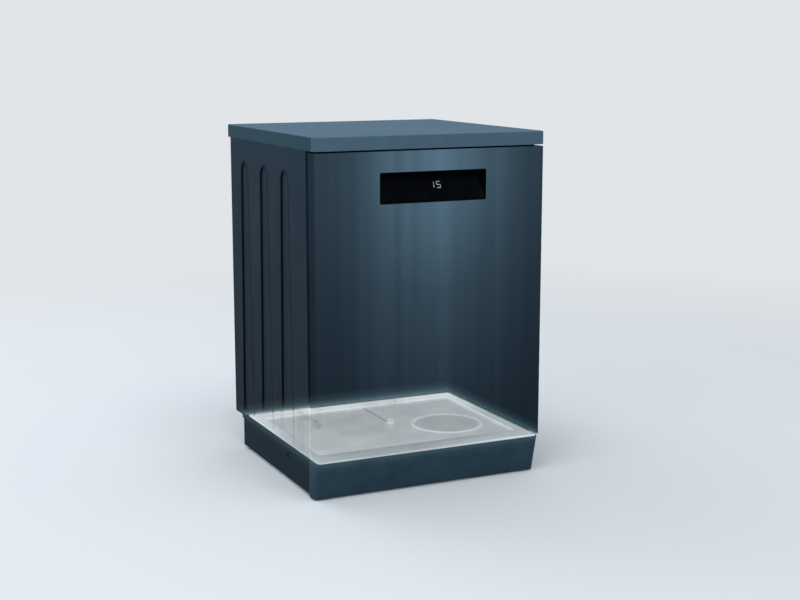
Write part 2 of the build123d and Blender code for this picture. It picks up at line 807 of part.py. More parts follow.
lid_face = bezel_face + piece_gap
lid_grip = 1.4
with BuildPart() as dispenser_lid:
    with BuildSketch(facing_front(lid_face + lid_sheet)):
        with Locations((chamber_x, dispenser_middle)):
            RectangleRounded(2 * lid_half_width, 2 * lid_half_height, lid_overlap)
    extrude(amount=lid_sheet)
    with BuildSketch(facing_front(lid_face + lid_sheet)):
        with Locations((chamber_x - lid_half_width / 2, dispenser_middle)):
            SlotOverall(lid_half_height, bezel, rotation=90)
    extrude(amount=lid_grip, mode=Mode.SUBTRACT)
save(dispenser_lid, "dispenser_lid")

cap_grip_width = 6.0
with BuildPart() as rinse_aid_cap:
    with BuildSketch(facing_front(bezel_face + piece_gap)):
        with Locations((cap_x, dispenser_middle)):
            Circle(cap_spigot)
    extrude(amount=cap_spigot_depth)
    with BuildSketch(facing_front(bezel_face + piece_gap)):
        with Locations((cap_x, dispenser_middle)):
            Circle(cap_radius)
    extrude(amount=-cap_height / 2)
    with BuildSketch(facing_front(bezel_face + piece_gap + cap_height / 2)):
        with Locations((cap_x, dispenser_middle)):
            SlotOverall(2 * cap_radius - cap_grip_width, cap_grip_width, rotation=90)
    extrude(amount=-cap_height / 2)
save(rinse_aid_cap, "rinse_aid_cap")

# Tub: pressed steel box with rounded rear corners, a front flange and a floor that falls to a flat pad
ledge_bottom = ledge_top - tub_wall
strike_slot = 2.0
hole_margin = piece_gap


def tub_outline(z, half, back, corner):
    """Plan of the tub at one height: square at the front, rounded at the rear corners."""
    with BuildSketch(Plane.XY.offset(z)) as outline:
        with Locations((0, (tub_front + back) / 2)):
            Rectangle(2 * half, back - tub_front)
        fillet(outline.vertices().group_by(Axis.Y)[-1], corner)
    return outline.sketch


def trough_sections(drop):
    """Upper and lower outline of the sloping floor, both lowered by the same drop."""
    with BuildSketch(Plane.XY.offset(ledge_top - drop)) as mouth:
        with Locations((0, (trough_front + trough_rear) / 2)):
            Rectangle(2 * trough_half, trough_rear - trough_front)
    with BuildSketch(Plane.XY.offset(pad_top - drop)) as pad:
        with Locations((0, pad_y)):
            Rectangle(2 * pad_half, pad_depth)
    return [mouth.sketch, pad.sketch]


with BuildPart() as tub:
    extrude(tub_outline(ledge_bottom, tub_half, tub_rear, tub_corner), amount=tub_top - ledge_bottom)
    extrude(tub_outline(ledge_top, tub_inner, tub_back_wall, tub_corner - tub_wall),
            amount=tub_ceiling - ledge_top, mode=Mode.SUBTRACT)
    block((-flange_half, flange_half), (tub_front, tub_front + tub_wall), (ledge_bottom, flange_top))
    block((-tub_inner, tub_inner), (tub_front, tub_front + tub_wall), (ledge_top, tub_ceiling),
          mode=Mode.SUBTRACT)
    block((-strike_width / 2 - strike_slot, strike_width / 2 + strike_slot),
          (tub_front, tub_front + tub_wall),
          (strike_bottom - strike_slot, strike_bottom + strike_height + strike_slot), mode=Mode.SUBTRACT)
    loft(trough_sections(tub_wall), ruled=True)
    loft(trough_sections(0), ruled=True, mode=Mode.SUBTRACT)
    floor_holes = ((filter_x, filter_y, sump_bore), (0, hub_y, hub_radius + hole_margin),
                   (salt_x, salt_y, salt_radius + hole_margin))
    for hole_x, hole_y, hole_radius in floor_holes:
        with BuildSketch(Plane.XY.offset(pad_bottom)):
            with Locations((hole_x, hole_y)):
                Circle(hole_radius)
        extrude(amount=tub_wall, mode=Mode.SUBTRACT)
save(tub, "tub")

# Tub seal: rubber lip round the sides and top of the opening
seal_inner = tub_inner + seal_gap
seal_ceiling = tub_ceiling + seal_gap
seal_bottom = ledge_top + seal_gap
seal_corner = 14.0
with BuildPart() as tub_seal:
    with BuildSketch(facing_front(tub_front)) as seal_outline:
        with Locations((0, (seal_bottom + seal_ceiling + seal_width) / 2)):
            Rectangle(2 * (seal_inner + seal_width), seal_ceiling + seal_width - seal_bottom)
        fillet(seal_outline.vertices().group_by(Axis.Y)[-1], seal_corner)
        with Locations((0, (seal_bottom + seal_ceiling) / 2)):
            Rectangle(2 * seal_inner, seal_ceiling - seal_bottom, mode=Mode.SUBTRACT)
    extrude(amount=tub_front - door_back - piece_gap)
save(tub_seal, "tub_seal")

# Latch housing: box on the tub's roof with a mouth for the strike
latch_half = 35.0
latch_depth = 42.0
latch_mouth = 14.0
latch_front = tub_front + tub_wall
with BuildPart() as latch_housing:
    block((-latch_half, latch_half), (latch_front, latch_front + latch_depth), (tub_top, flange_top))
    block((-strike_width / 2 - strike_slot, strike_width / 2 + strike_slot),
          (latch_front, latch_front + latch_mouth),
          (strike_bottom - strike_slot, strike_bottom + strike_height + strike_slot), mode=Mode.SUBTRACT)
save(latch_housing, "latch_housing")

# Sump: well under the tub floor with the column that feeds the lower spray arm and stubs for both pumps
lower_arm_bottom = 226.0
arm_cover = 4.0
sump_bottom = pad_bottom - sump_depth
sump_floor = sump_bottom + sump_wall
sump_outer = sump_bore + sump_wall
column_radius = 20.0
column_height = 52.0
pump_drop = 36.0
pump_z = pad_bottom - pump_drop
pump_stub = 12.0
pump_stub_length = 14.0
drain_stub = 9.0
spigot_top = lower_arm_bottom + arm_thickness - arm_cover - piece_gap
with BuildPart() as sump:
    with BuildSketch(Plane.XY.offset(sump_bottom)):
        with Locations((filter_x, filter_y)):
            Circle(sump_outer)
    extrude(amount=sump_depth)
    with BuildSketch(Plane.XY.offset(pad_bottom - column_height)):
        with Locations((0, hub_y)):
            Circle(column_radius)
        with Locations((filter_x / 2, (hub_y + filter_y) / 2)):
            Rectangle(2 * column_radius, filter_y - hub_y)
        with Locations((-column_radius, hub_y)):
            Rectangle(2 * column_radius, column_radius)
    extrude(amount=column_height)
    with BuildSketch(along_x(filter_x - sump_outer - pump_stub_length)):
        with Locations((filter_y, pump_z)):
            Circle(pump_stub)
    extrude(amount=sump_outer)
    with BuildSketch(along_x(filter_x)):
        with Locations((filter_y, connection_height)):
            Circle(drain_stub)
    extrude(amount=sump_outer + pump_stub_length)
    with BuildSketch(Plane.XY.offset(sump_floor)):
        with Locations((filter_x, filter_y)):
            Circle(sump_bore)
    extrude(amount=sump_depth, mode=Mode.SUBTRACT)
    with BuildSketch(Plane.XY.offset(pad_bottom)):
        with Locations((0, hub_y)):
            Circle(hub_radius)
    extrude(amount=spigot_top - pad_bottom)
save(sump, "sump")

# Circulation pump with its flow heater: volute, motor and the pipe to the spray arm's column
volute_radius = 31.0
volute_length = 40.0
motor_radius = 26.0
motor_length = 80.0
pump_cap = 10.0
pump_pipe = 8.0
pump_face = filter_x - sump_outer - pump_stub_length
pipe_x = -1.5 * column_radius
with BuildPart() as circulation_pump:
    for start, length, radius in ((pump_face, volute_length, volute_radius),
                                  (pump_face - volute_length, motor_length, motor_radius),
                                  (pump_face - volute_length - motor_length, pump_cap,
                                   motor_radius - pump_cap)):
        with BuildSketch(along_x(start)):
            with Locations((filter_y, pump_z)):
                Circle(radius)
        extrude(amount=-length)
    with BuildSketch(facing_front(filter_y)):
        with Locations((pipe_x, pump_z)):
            Circle(pump_pipe)
    extrude(amount=filter_y - hub_y - column_radius / 2)
save(circulation_pump, "circulation_pump")

# Drain pump: motor on the sump's right, with its outlet to the rear
drain_radius = 24.0
drain_length = 66.0
drain_face = filter_x + sump_outer + pump_stub_length
drain_outlet_x = drain_face + drain_length - drain_radius
drain_outlet_reach = 36.0
drain_outlet_y = filter_y + drain_radius + drain_outlet_reach
hose_radius = 9.0
with BuildPart() as drain_pump:
    with BuildSketch(along_x(drain_face)):
        with Locations((filter_y, connection_height)):
            Circle(drain_radius)
    extrude(amount=drain_length)
    with BuildSketch(facing_front(drain_outlet_y)):
        with Locations((drain_outlet_x, connection_height)):
            Circle(hose_radius)
    extrude(amount=drain_outlet_y - filter_y)
save(drain_pump, "drain_pump")

# Water softener: tank under the tub floor with the neck that the salt cap closes
tank_left = -160.0
tank_right = -44.0
tank_front = -130.0
tank_rear = 25.0
tank_gap = 5.0
tank_bottom = tray_top + tank_gap
tank_top = 165.0
tank_corner = 12.0
neck_rise = 4.0
with BuildPart() as softener_tank:
    with BuildSketch(Plane.XY.offset(tank_bottom)):
        with Locations(((tank_left + tank_right) / 2, (tank_front + tank_rear) / 2)):
            RectangleRounded(tank_right - tank_left, tank_rear - tank_front, tank_corner)
    extrude(amount=tank_top - tank_bottom)
    with BuildSketch(Plane.XY.offset(tank_top)):
        with Locations((salt_x, salt_y)):
            Circle(salt_radius)
    extrude(amount=pad_top + neck_rise - tank_top)
save(softener_tank, "softener_tank")

cap_wall = 4.0
cap_top = pad_top + neck_rise + 2 * cap_wall
cap_bar = 8.0
with BuildPart() as salt_cap:
    with BuildSketch(Plane.XY.offset(pad_top + piece_gap)):
        with Locations((salt_x, salt_y)):
            Circle(salt_radius + cap_wall)
    extrude(amount=cap_top - pad_top - piece_gap)
    with BuildSketch(Plane.XY.offset(pad_top + piece_gap)):
        with Locations((salt_x, salt_y)):
            Circle(salt_radius + running_fit)
    extrude(amount=neck_rise, mode=Mode.SUBTRACT)
    with BuildSketch(Plane.XY.offset(cap_top)):
        with Locations((salt_x, salt_y)):
            SlotOverall(2 * salt_radius, cap_bar)
    extrude(amount=cap_bar)
save(salt_cap, "salt_cap")

# Filter: flat plate over the sump and the coarse filter cylinder that twists out of it
plate_top = pad_top + filter_plate_sheet
filter_wall = 2.5
filter_flange = 6.0
filter_flange_sheet = 3.0
filter_floor_gap = 3.0
filter_rise = 10.0
filter_bottom = sump_floor + filter_floor_gap
filter_top = plate_top + filter_rise
grip_length = 52.0
grip_width = 8.0
grip_height = 16.0
with BuildPart() as filter_plate:
    with BuildSketch(Plane.XY.offset(pad_top)):
        with Locations((filter_x, filter_y)):
            RectangleRounded(filter_plate_size, filter_plate_size, filter_flange)
            Circle(filter_radius + piece_gap, mode=Mode.SUBTRACT)
    extrude(amount=filter_plate_sheet)
save(filter_plate, "filter_plate")

with BuildPart() as coarse_filter:
    with BuildSketch(Plane.XY.offset(filter_bottom)):
        with Locations((filter_x, filter_y)):
            Circle(filter_radius)
    extrude(amount=filter_top - filter_bottom)
    with BuildSketch(Plane.XY.offset(plate_top + piece_gap)):
        with Locations((filter_x, filter_y)):
            Circle(filter_radius + filter_flange)
    extrude(amount=filter_flange_sheet)
    with BuildSketch(Plane.XY.offset(filter_bottom)):
        with Locations((filter_x, filter_y)):
            Circle(filter_radius - filter_wall)
    extrude(amount=filter_top - filter_bottom - filter_wall, mode=Mode.SUBTRACT)
    with BuildSketch(Plane.XY.offset(filter_top)):
        with Locations((filter_x, filter_y)):
            SlotOverall(grip_length, grip_width)
    extrude(amount=grip_height)
save(coarse_filter, "coarse_filter")

# Rear connections: water inlet valve with its thread, drain spigot and the gland of the mains lead
valve_half = 20.0
valve_depth = 38.0
connection_setback = 2.0
connection_end = rear - connection_setback
neck_end = panel_rear + 2 * sheet
neck_relief = 0.6
inlet_bore = 9.0
drain_bore = 7.0
connection_bore_depth = 20.0
with BuildPart() as inlet_valve:
    block((inlet_x - valve_half, inlet_x + valve_half), (panel_face - valve_depth, panel_face),
          (connection_height - valve_half, connection_height + valve_half))
    with BuildSketch(facing_front(connection_end)):
        with Locations((inlet_x, connection_height)):
            Circle(inlet_thread_radius)
    extrude(amount=connection_end - neck_end)
    with BuildSketch(facing_front(neck_end)):
        with Locations((inlet_x, connection_height)):
            Circle(inlet_thread_radius - neck_relief)
    extrude(amount=neck_end - panel_face)
    with BuildSketch(facing_front(connection_end)):
        with Locations((inlet_x, connection_height)):
            Circle(inlet_bore)
    extrude(amount=connection_bore_depth, mode=Mode.SUBTRACT)
save(inlet_valve, "inlet_valve")

with BuildPart() as drain_outlet:
    with BuildSketch(facing_front(panel_face)):
        with Locations((drain_x, connection_height)):
            Circle(valve_half)
    extrude(amount=valve_depth)
    with BuildSketch(facing_front(connection_end)):
        with Locations((drain_x, connection_height)):
            Circle(drain_spigot_radius)
    extrude(amount=connection_end - neck_end)
    with BuildSketch(facing_front(neck_end)):
        with Locations((drain_x, connection_height)):
            Circle(drain_spigot_radius - neck_relief)
    extrude(amount=neck_end - panel_face)
    with BuildSketch(facing_front(connection_end)):
        with Locations((drain_x, connection_height)):
            Circle(drain_bore)
    extrude(amount=connection_bore_depth, mode=Mode.SUBTRACT)
save(drain_outlet, "drain_outlet")

gland_hex_radius = 15.0
gland_hex = 9.0
gland_depth = 24.0
with BuildPart() as cable_gland:
    with BuildSketch(facing_front(panel_rear + gland_hex)):
        with Locations((gland_x, connection_height)):
            RegularPolygon(gland_hex_radius, 6)
    extrude(amount=gland_hex)
    with BuildSketch(facing_front(panel_rear)):
        with Locations((gland_x, connection_height)):
            Circle(gland_outer_radius)
    extrude(amount=gland_depth)
    with BuildSketch(facing_front(panel_rear + gland_hex)):
        with Locations((gland_x, connection_height)):
            Circle(gland_bore_radius)
    extrude(amount=gland_hex + gland_depth, mode=Mode.SUBTRACT)
save(cable_gland, "cable_gland")

# Inner hoses: drain pump to the drain outlet, and inlet valve to the softener
supply_radius = 7.0
hose_end = panel_face - valve_depth
drain_run_y = (drain_outlet_y + hose_end) / 2
drain_bend = (hose_end - drain_outlet_y) / 3
supply_bend = 40.0
drain_plan = ((drain_outlet_x, drain_outlet_y), (drain_outlet_x, drain_run_y), (drain_x, drain_run_y),
              (drain_x, hose_end))
supply_plan = ((inlet_x, hose_end), (inlet_x, salt_y), (tank_left, salt_y))
with BuildPart() as base_hoses:
    for plan, radius, bend in ((drain_plan, hose_radius, drain_bend),
                               (supply_plan, supply_radius, supply_bend)):
        with BuildLine() as hose_line:
            FilletPolyline(*[(x, y, connection_height) for x, y in plan], radius=bend)
        with BuildSketch(Plane(hose_line.line @ 0, z_dir=hose_line.line % 0)):
            Circle(radius)
        sweep(path=hose_line.line)
save(base_hoses, "base_hoses")

# Feed tube: flat tube up the tub's rear wall and along its roof, with a socket for the upper arm
tube_half = 14.0
tube_depth = 14.0
tube_corner = 5.0
dock_reach = 8.0
dock_radius = 9.0
manifold_height = 10.0
dock_z = upper_rack_floor - manifold_height / 2
tube_face = tub_back_wall - tube_depth
tube_bottom = tub_ceiling - tube_depth
with BuildPart() as feed_tube:
    block((-tube_half, tube_half), (tube_face, tub_back_wall), (ledge_top, tub_ceiling))
    block((-tube_half, tube_half), (hub_y - tube_half, tub_back_wall), (tube_bottom, tub_ceiling))
    fillet(feed_tube.edges().filter_by(Axis.Z).group_by(Axis.Y)[1], tube_corner)
    with BuildSketch(facing_front(tube_face)):
        with Locations((0, dock_z)):
            Circle(dock_radius)
    extrude(amount=dock_reach)
save(feed_tube, "feed_tube")

sprayer_radius = 35.0
sprayer_height = 9.0
sprayer_jet_ring = 24.5
jet_count = 8
jet_radius = 2.5
with BuildPart() as ceiling_sprayer:
    with BuildSketch(Plane.XY.offset(tube_bottom - sprayer_height)):
        with Locations((0, hub_y)):
            Circle(sprayer_radius)
            with PolarLocations(sprayer_jet_ring, jet_count):
                Circle(jet_radius, mode=Mode.SUBTRACT)
    extrude(amount=sprayer_height)
    chamfer(ceiling_sprayer.faces().sort_by(Axis.Z)[0].outer_wire().edges(), sprayer_height / 3)
save(ceiling_sprayer, "ceiling_sprayer")

# Rack rails: open channels on the tub's side walls
rail_z = upper_rack_floor + upper_rack_height / 2
rail_half_height = 12.0
rail_depth = 14.0
rail_wall = 2.0
rail_front_gap = 11.0
rail_front = tub_front + rail_front_gap
rail_rear = tub_back_wall - tub_corner - sheet
with BuildPart() as upper_rails:
    for side in (-1, 1):
        block(sorted((side * tub_inner, side * (tub_inner - rail_depth))), (rail_front, rail_rear),
              (rail_z - rail_half_height, rail_z + rail_half_height))
        block(sorted((side * (tub_inner - rail_wall), side * (tub_inner - rail_depth))),
              (rail_front, rail_rear),
              (rail_z - rail_half_height + rail_wall, rail_z + rail_half_height - rail_wall),
              mode=Mode.SUBTRACT)
save(upper_rails, "upper_rails")

# Screws of the rear panel
screw_head_radius = 4.0
screw_head = 2.5
screw_edge = 10.0
screw_rows = 4
screw_bottom = rear_panel_bottom + 3 * screw_edge
screw_pitch = (worktop_bottom - 3 * screw_edge - screw_bottom) / (screw_rows - 1)
with BuildPart() as panel_screws:
    with BuildSketch(facing_front(panel_rear + screw_head)):
        for i in range(screw_rows):
            for side in (-1, 1):
                with Locations((side * (panel_inner - screw_edge), screw_bottom + i * screw_pitch)):
                    Circle(screw_head_radius)
    extrude(amount=screw_head)
save(panel_screws, "panel_screws")

# Racks: each wire is a straight square bar, a hair apart from the bars that it is welded to
weld = 0.05
rack_step = wire + weld


def bars(size, places):
    """Equal straight bars, each centred on one of the places."""
    with Locations(*places):
        Box(*size)


def spread(low, high, count):
    """Evenly spaced places from low to high, both included."""
    return [low + (high - low) * i / (count - 1) for i in range(count)]


def rack_ring(half, y0, y1, z, inset):
    """Closed rectangle of four bars at one height, drawn in from the rack's outline."""
    outer = half - inset
    start = y0 + inset
    end = y1 - inset
    middle = (start + end) / 2
    bars((2 * outer, wire, wire), [(0, start + wire / 2, z), (0, end - wire / 2, z)])
    bars((wire, end - start - 2 * rack_step, wire),
         [(-outer + wire / 2, middle, z), (outer - wire / 2, middle, z)])


def rack_frame(half, y0, y1, floor, tall, floor_xs, cross_ys, post_xs, post_ys):
    """Wire basket: bottom ring, floor wires both ways, posts, a middle ring inside them and a top ring."""
    ring_z = floor + wire / 2
    middle = (y0 + y1) / 2
    rack_ring(half, y0, y1, ring_z, 0)
    rack_ring(half, y0, y1, floor + tall / 2, rack_step)
    rack_ring(half, y0, y1, floor + tall - wire / 2, 0)
    bars((2 * (half - rack_step), wire, wire), [(0, y, ring_z) for y in cross_ys])
    bars((wire, y1 - y0, wire), [(x, middle, ring_z + rack_step) for x in floor_xs])
    post_z = floor + tall / 2
    post_height = tall - 2 * rack_step
    corner = half - wire / 2
    places = [(x, y, post_z) for x in [-corner, *post_xs, corner] for y in (y0 + wire / 2, y1 - wire / 2)]
    places += [(x, y, post_z) for x in (-corner, corner) for y in post_ys]
    bars((wire, wire, post_height), places)


# Lower basket: wire rack with a row of fixed tines, and stub axles for its four wheels
floor_wire_top = lower_rack_floor + rack_step + wire
wheel_z = ledge_top + piece_gap + wheel_radius
axle_overhang = 1.4
axle_face = lower_rack_half - wheel_width + axle_overhang
axle_block = 7.0
axle_block_half = 6.0
fixed_tine_inset = 76.0
fixed_tine_y = lower_rack_rear - fixed_tine_inset
tine_height = 60.0
floor_wire_inset = 52.0
side_post_inset = 76.0
lower_floor_end = lower_rack_half - floor_wire_inset
lower_floor_xs = spread(-lower_floor_end, lower_floor_end, 7)
lower_post_xs = [(a + b) / 2 for a, b in zip(lower_floor_xs, lower_floor_xs[1:])]
with BuildPart() as lower_basket:
    rack_frame(lower_rack_half, rack_front, lower_rack_rear, lower_rack_floor, lower_rack_height,
               lower_floor_xs, spread(wheel_front_y, wheel_rear_y, 5), lower_post_xs,
               spread(rack_front + side_post_inset, lower_rack_rear - side_post_inset, 5))
    bars((wire, wire, tine_height),
         [(x, fixed_tine_y, floor_wire_top + weld + tine_height / 2) for x in lower_floor_xs])
    for side in (-1, 1):
        for axle_y in (wheel_front_y, wheel_rear_y):
            block(sorted((side * axle_face, side * (axle_face - axle_block))),
                  (axle_y - axle_block_half, axle_y + axle_block_half),
                  (wheel_z - axle_block_half, lower_rack_floor - weld))
            with BuildSketch(along_x(side * axle_face)):
                with Locations((axle_y, wheel_z)):
                    Circle(wheel_axle_radius)
            extrude(amount=side * (wheel_width + 2 * piece_gap))
save(lower_basket, "lower_basket")

wheel_recess = 2.0
wheel_rim = 4.0
for name, axle_y in (("front_wheels", wheel_front_y), ("rear_wheels", wheel_rear_y)):
    with BuildPart() as wheels:
        for side in (-1, 1):
            with BuildSketch(along_x(side * (axle_face + piece_gap))):
                with Locations((axle_y, wheel_z)):
                    Circle(wheel_radius)
                    Circle(wheel_axle_radius + running_fit, mode=Mode.SUBTRACT)
            extrude(amount=side * wheel_width)
            with BuildSketch(along_x(side * (axle_face + piece_gap + wheel_width))):
                with Locations((axle_y, wheel_z)):
                    Circle(wheel_radius - wheel_rim)
                    Circle(wheel_axle_radius * 2, mode=Mode.SUBTRACT)
            extrude(amount=-side * wheel_recess, mode=Mode.SUBTRACT)
    save(wheels, name)

# Folding tines: one rod with upright tines that lean back a little and fold down to the front
fold_y = 60.0
fold_rod = 2.2
fold_tine = 1.8
fold_lean = 4.0
fold_tine_length = 75.0
fold_z = floor_wire_top + piece_gap + fold_rod
fold_left_gap = 44.0
fold_right_gap = 42.0
fold_left = cutlery_left + cutlery_width + fold_left_gap
fold_xs = spread(fold_left, lower_rack_half - fold_right_gap, 9)
fold_end = 12.0
with BuildPart() as folding_tines:
    with BuildSketch(along_x(fold_xs[0] - fold_end)):
        with Locations((fold_y, fold_z)):
            Circle(fold_rod)
    extrude(amount=fold_xs[-1] - fold_xs[0] + 2 * fold_end)
    for fold_x in fold_xs:
        lean_up = (0, sin(radians(fold_lean)), cos(radians(fold_lean)))
        with BuildSketch(Plane(origin=(fold_x, fold_y, fold_z), z_dir=lean_up)):
            Circle(fold_tine)
        extrude(amount=fold_tine_length)
save(folding_tines, "folding_tines")

# Cutlery basket: slotted open box with partitions and a loop handle
cutlery_length = 200.0
cutlery_height = 118.0
cutlery_wall = 2.5
cutlery_cells = 3
cutlery_bottom = floor_wire_top + piece_gap
cutlery_top = cutlery_bottom + cutlery_height
cutlery_x = cutlery_left + cutlery_width / 2
cutlery_y = cutlery_front + cutlery_length / 2
cutlery_corner = 8.0
cell_pitch = (cutlery_length - cutlery_wall) / cutlery_cells
slot_width = 6.0
slot_count = 7
slot_height = 70.0
handle_height = 46.0
handle_bar = 9.0
handle_length = cell_pitch + handle_bar
with BuildPart() as cutlery_basket:
    with BuildSketch(Plane.XY.offset(cutlery_bottom)):
        with Locations((cutlery_x, cutlery_y)):
            RectangleRounded(cutlery_width, cutlery_length, cutlery_corner)
    extrude(amount=cutlery_height)
    with BuildSketch(Plane.XY.offset(cutlery_bottom + cutlery_wall)):
        with Locations((cutlery_x, cutlery_y)):
            RectangleRounded(cutlery_width - 2 * cutlery_wall, cutlery_length - 2 * cutlery_wall,
                             cutlery_corner - cutlery_wall)
    extrude(amount=cutlery_height, mode=Mode.SUBTRACT)
    for i in range(1, cutlery_cells):
        wall_y = cutlery_front + i * cell_pitch
        block((cutlery_left + cutlery_wall, cutlery_left + cutlery_width - cutlery_wall),
              (wall_y, wall_y + cutlery_wall), (cutlery_bottom, cutlery_top))
    with BuildSketch(along_x(cutlery_left)):
        with Locations((cutlery_y, cutlery_bottom + cutlery_height / 2)):
            with GridLocations(cutlery_length / (slot_count + 1), 0, slot_count, 1):
                SlotOverall(slot_height, slot_width, rotation=90)
    extrude(amount=cutlery_width, mode=Mode.SUBTRACT)
    with BuildSketch(along_x(cutlery_x - cutlery_wall)):
        with Locations((cutlery_y, cutlery_top + handle_height / 2 - handle_bar)):
            RectangleRounded(handle_length, handle_height + 2 * handle_bar, handle_bar)
        with Locations((cutlery_y, cutlery_top)):
            Rectangle(handle_length - 2 * handle_bar, 2 * (handle_height - handle_bar), mode=Mode.SUBTRACT)
    extrude(amount=2 * cutlery_wall)
save(cutlery_basket, "cutlery_basket")

# Upper basket: wire rack with side runners, the water manifold of its spray arm and clips for the cup shelf
runner_half_height = rail_half_height - rail_wall - piece_gap
runner_outer = tub_inner - rail_wall - piece_gap
runner_front_gap = 6.0
runner_rear_gap = 10.0
runner_front = rack_front + runner_front_gap
runner_rear = rail_rear - runner_rear_gap
arm_gap = 1.5
upper_arm_top = upper_rack_floor - manifold_height - arm_gap
upper_arm_bottom = upper_arm_top - arm_thickness
upper_spigot = 8.0
upper_stop = 3.0
upper_stop_radius = 12.0
manifold_half = 8.0
manifold_end = tube_face - dock_reach - piece_gap
shelf_clip_y = 100.0
shelf_clip_half = 6.0
shelf_rod = 3.0
shelf_inset = 10.0
shelf_x = -upper_rack_half + shelf_inset
shelf_z = upper_rack_floor + upper_rack_height + shelf_clip_half
upper_floor_inset = 42.0
upper_floor_end = upper_rack_half - upper_floor_inset
upper_floor_xs = spread(-upper_floor_end, upper_floor_end, 9)
upper_post_xs = [(upper_floor_xs[i] + upper_floor_xs[i + 1]) / 2 for i in (0, 2, 5, 7)]
upper_post_inset = 96.0
with BuildPart() as upper_basket:
    rack_frame(upper_rack_half, rack_front, upper_rack_rear, upper_rack_floor, upper_rack_height,
               upper_floor_xs, spread(rack_front + side_post_inset, upper_rack_rear - side_post_inset, 5),
               upper_post_xs, spread(rack_front + upper_post_inset, upper_rack_rear - upper_post_inset, 4))
    for side in (-1, 1):
        block(sorted((side * (upper_rack_half + weld), side * runner_outer)), (runner_front, runner_rear),
              (rail_z - runner_half_height, rail_z + runner_half_height))
    block((-manifold_half, manifold_half), (hub_y - manifold_half, manifold_end),
          (upper_rack_floor - weld - manifold_height, upper_rack_floor - weld))
    for radius, bottom, top in ((upper_spigot, upper_arm_bottom - piece_gap,
                                 upper_rack_floor - manifold_height),
                                (upper_stop_radius, upper_arm_bottom - piece_gap - upper_stop,
                                 upper_arm_bottom - piece_gap)):
        with BuildSketch(Plane.XY.offset(bottom)):
            with Locations((0, hub_y)):
                Circle(radius)
        extrude(amount=top - bottom)
    for side in (-1, 1):
        clip_y = side * shelf_clip_y
        block((-upper_rack_half, shelf_x + shelf_clip_half),
              (clip_y - shelf_clip_half, clip_y + shelf_clip_half),
              (upper_rack_floor + upper_rack_height + weld, shelf_z + shelf_clip_half))
        with BuildSketch(facing_front(clip_y + shelf_clip_half)):
            with Locations((shelf_x, shelf_z)):
                Circle(shelf_rod + running_fit)
        extrude(amount=2 * shelf_clip_half, mode=Mode.SUBTRACT)
save(upper_basket, "upper_basket")

# Cup shelf: slotted shelf on a rod that folds up against the side
shelf_width = 105.0
shelf_half_length = 150.0
shelf_sheet = 5.0
shelf_notch_gap = 4.0
shelf_root_gap = 1.5
shelf_notch = shelf_clip_half + shelf_notch_gap
shelf_root = hypot(shelf_clip_half, shelf_clip_half) + shelf_root_gap
shelf_slot_count = 7
shelf_slot_width = 12.0
shelf_slot_length = 70.0
with BuildPart() as cup_shelf:
    block((shelf_x, shelf_x + shelf_width), (-shelf_half_length, shelf_half_length),
          (shelf_z - shelf_sheet / 2, shelf_z + shelf_sheet / 2))
    for side in (-1, 1):
        block((shelf_x - shelf_rod, shelf_x + shelf_root),
              (side * shelf_clip_y - shelf_notch, side * shelf_clip_y + shelf_notch),
              (shelf_z - shelf_sheet, shelf_z + shelf_sheet), mode=Mode.SUBTRACT)
    with BuildSketch(Plane.XY.offset(shelf_z - shelf_sheet / 2)):
        with Locations((shelf_x + shelf_width / 2 + shelf_root / 2, 0)):
            with GridLocations(0, 2 * shelf_half_length / (shelf_slot_count + 1), 1, shelf_slot_count):
                SlotOverall(shelf_slot_length, shelf_slot_width)
    extrude(amount=shelf_sheet, mode=Mode.SUBTRACT)
    with BuildSketch(facing_front(shelf_half_length)):
        with Locations((shelf_x, shelf_z)):
            Circle(shelf_rod)
    extrude(amount=2 * shelf_half_length)
save(cup_shelf, "cup_shelf")

# Spray arms: tapered hollow blades with a hub bore and raised jets
jet_height = 1.2
arm_collar = 18.0


def arm_plan(z, reach):
    """Tapered outline of a spray arm at one height."""
    with BuildSketch(Plane.XY.offset(z)) as plan:
        with Locations((0, hub_y)):
            Circle(arm_width / 2)
            with Locations((reach - arm_tip_width / 2, 0), (arm_tip_width / 2 - reach, 0)):
                Circle(arm_tip_width / 2)
        make_hull()
    return plan.sketch


with BuildPart() as lower_spray_arm:
    extrude(arm_plan(lower_arm_bottom, lower_arm_reach), amount=arm_thickness)
    with BuildSketch(Plane.XY.offset(lower_arm_bottom + arm_thickness)):
        with Locations((0, hub_y)):
            for jet_x in spread(0.3, 0.9, 5):
                with Locations((jet_x * lower_arm_reach, 0), (-jet_x * lower_arm_reach, 0)):
                    Circle(jet_radius)
    extrude(amount=jet_height)
    with BuildSketch(Plane.XY.offset(lower_arm_bottom)):
        with Locations((0, hub_y)):
            Circle(arm_collar)
    extrude(amount=-arm_collar / 2)
    with BuildSketch(Plane.XY.offset(lower_arm_bottom - arm_collar / 2)):
        with Locations((0, hub_y)):
            Circle(hub_radius + running_fit)
    extrude(amount=arm_collar / 2 + arm_thickness - arm_cover, mode=Mode.SUBTRACT)
save(lower_spray_arm, "lower_spray_arm")

with BuildPart() as upper_spray_arm:
    extrude(arm_plan(upper_arm_bottom, upper_arm_reach), amount=arm_thickness)
    with BuildSketch(Plane.XY.offset(upper_arm_bottom)):
        with Locations((0, hub_y)):
            Circle(upper_spigot + running_fit)
    extrude(amount=arm_thickness, mode=Mode.SUBTRACT)
    with BuildSketch(Plane.XY.offset(upper_arm_top)):
        with Locations((0, hub_y)):
            for jet_x in spread(0.3, 0.9, 5):
                with Locations((jet_x * upper_arm_reach, 0), (-jet_x * upper_arm_reach, 0)):
                    Circle(jet_radius)
    extrude(amount=jet_height)
save(upper_spray_arm, "upper_spray_arm")
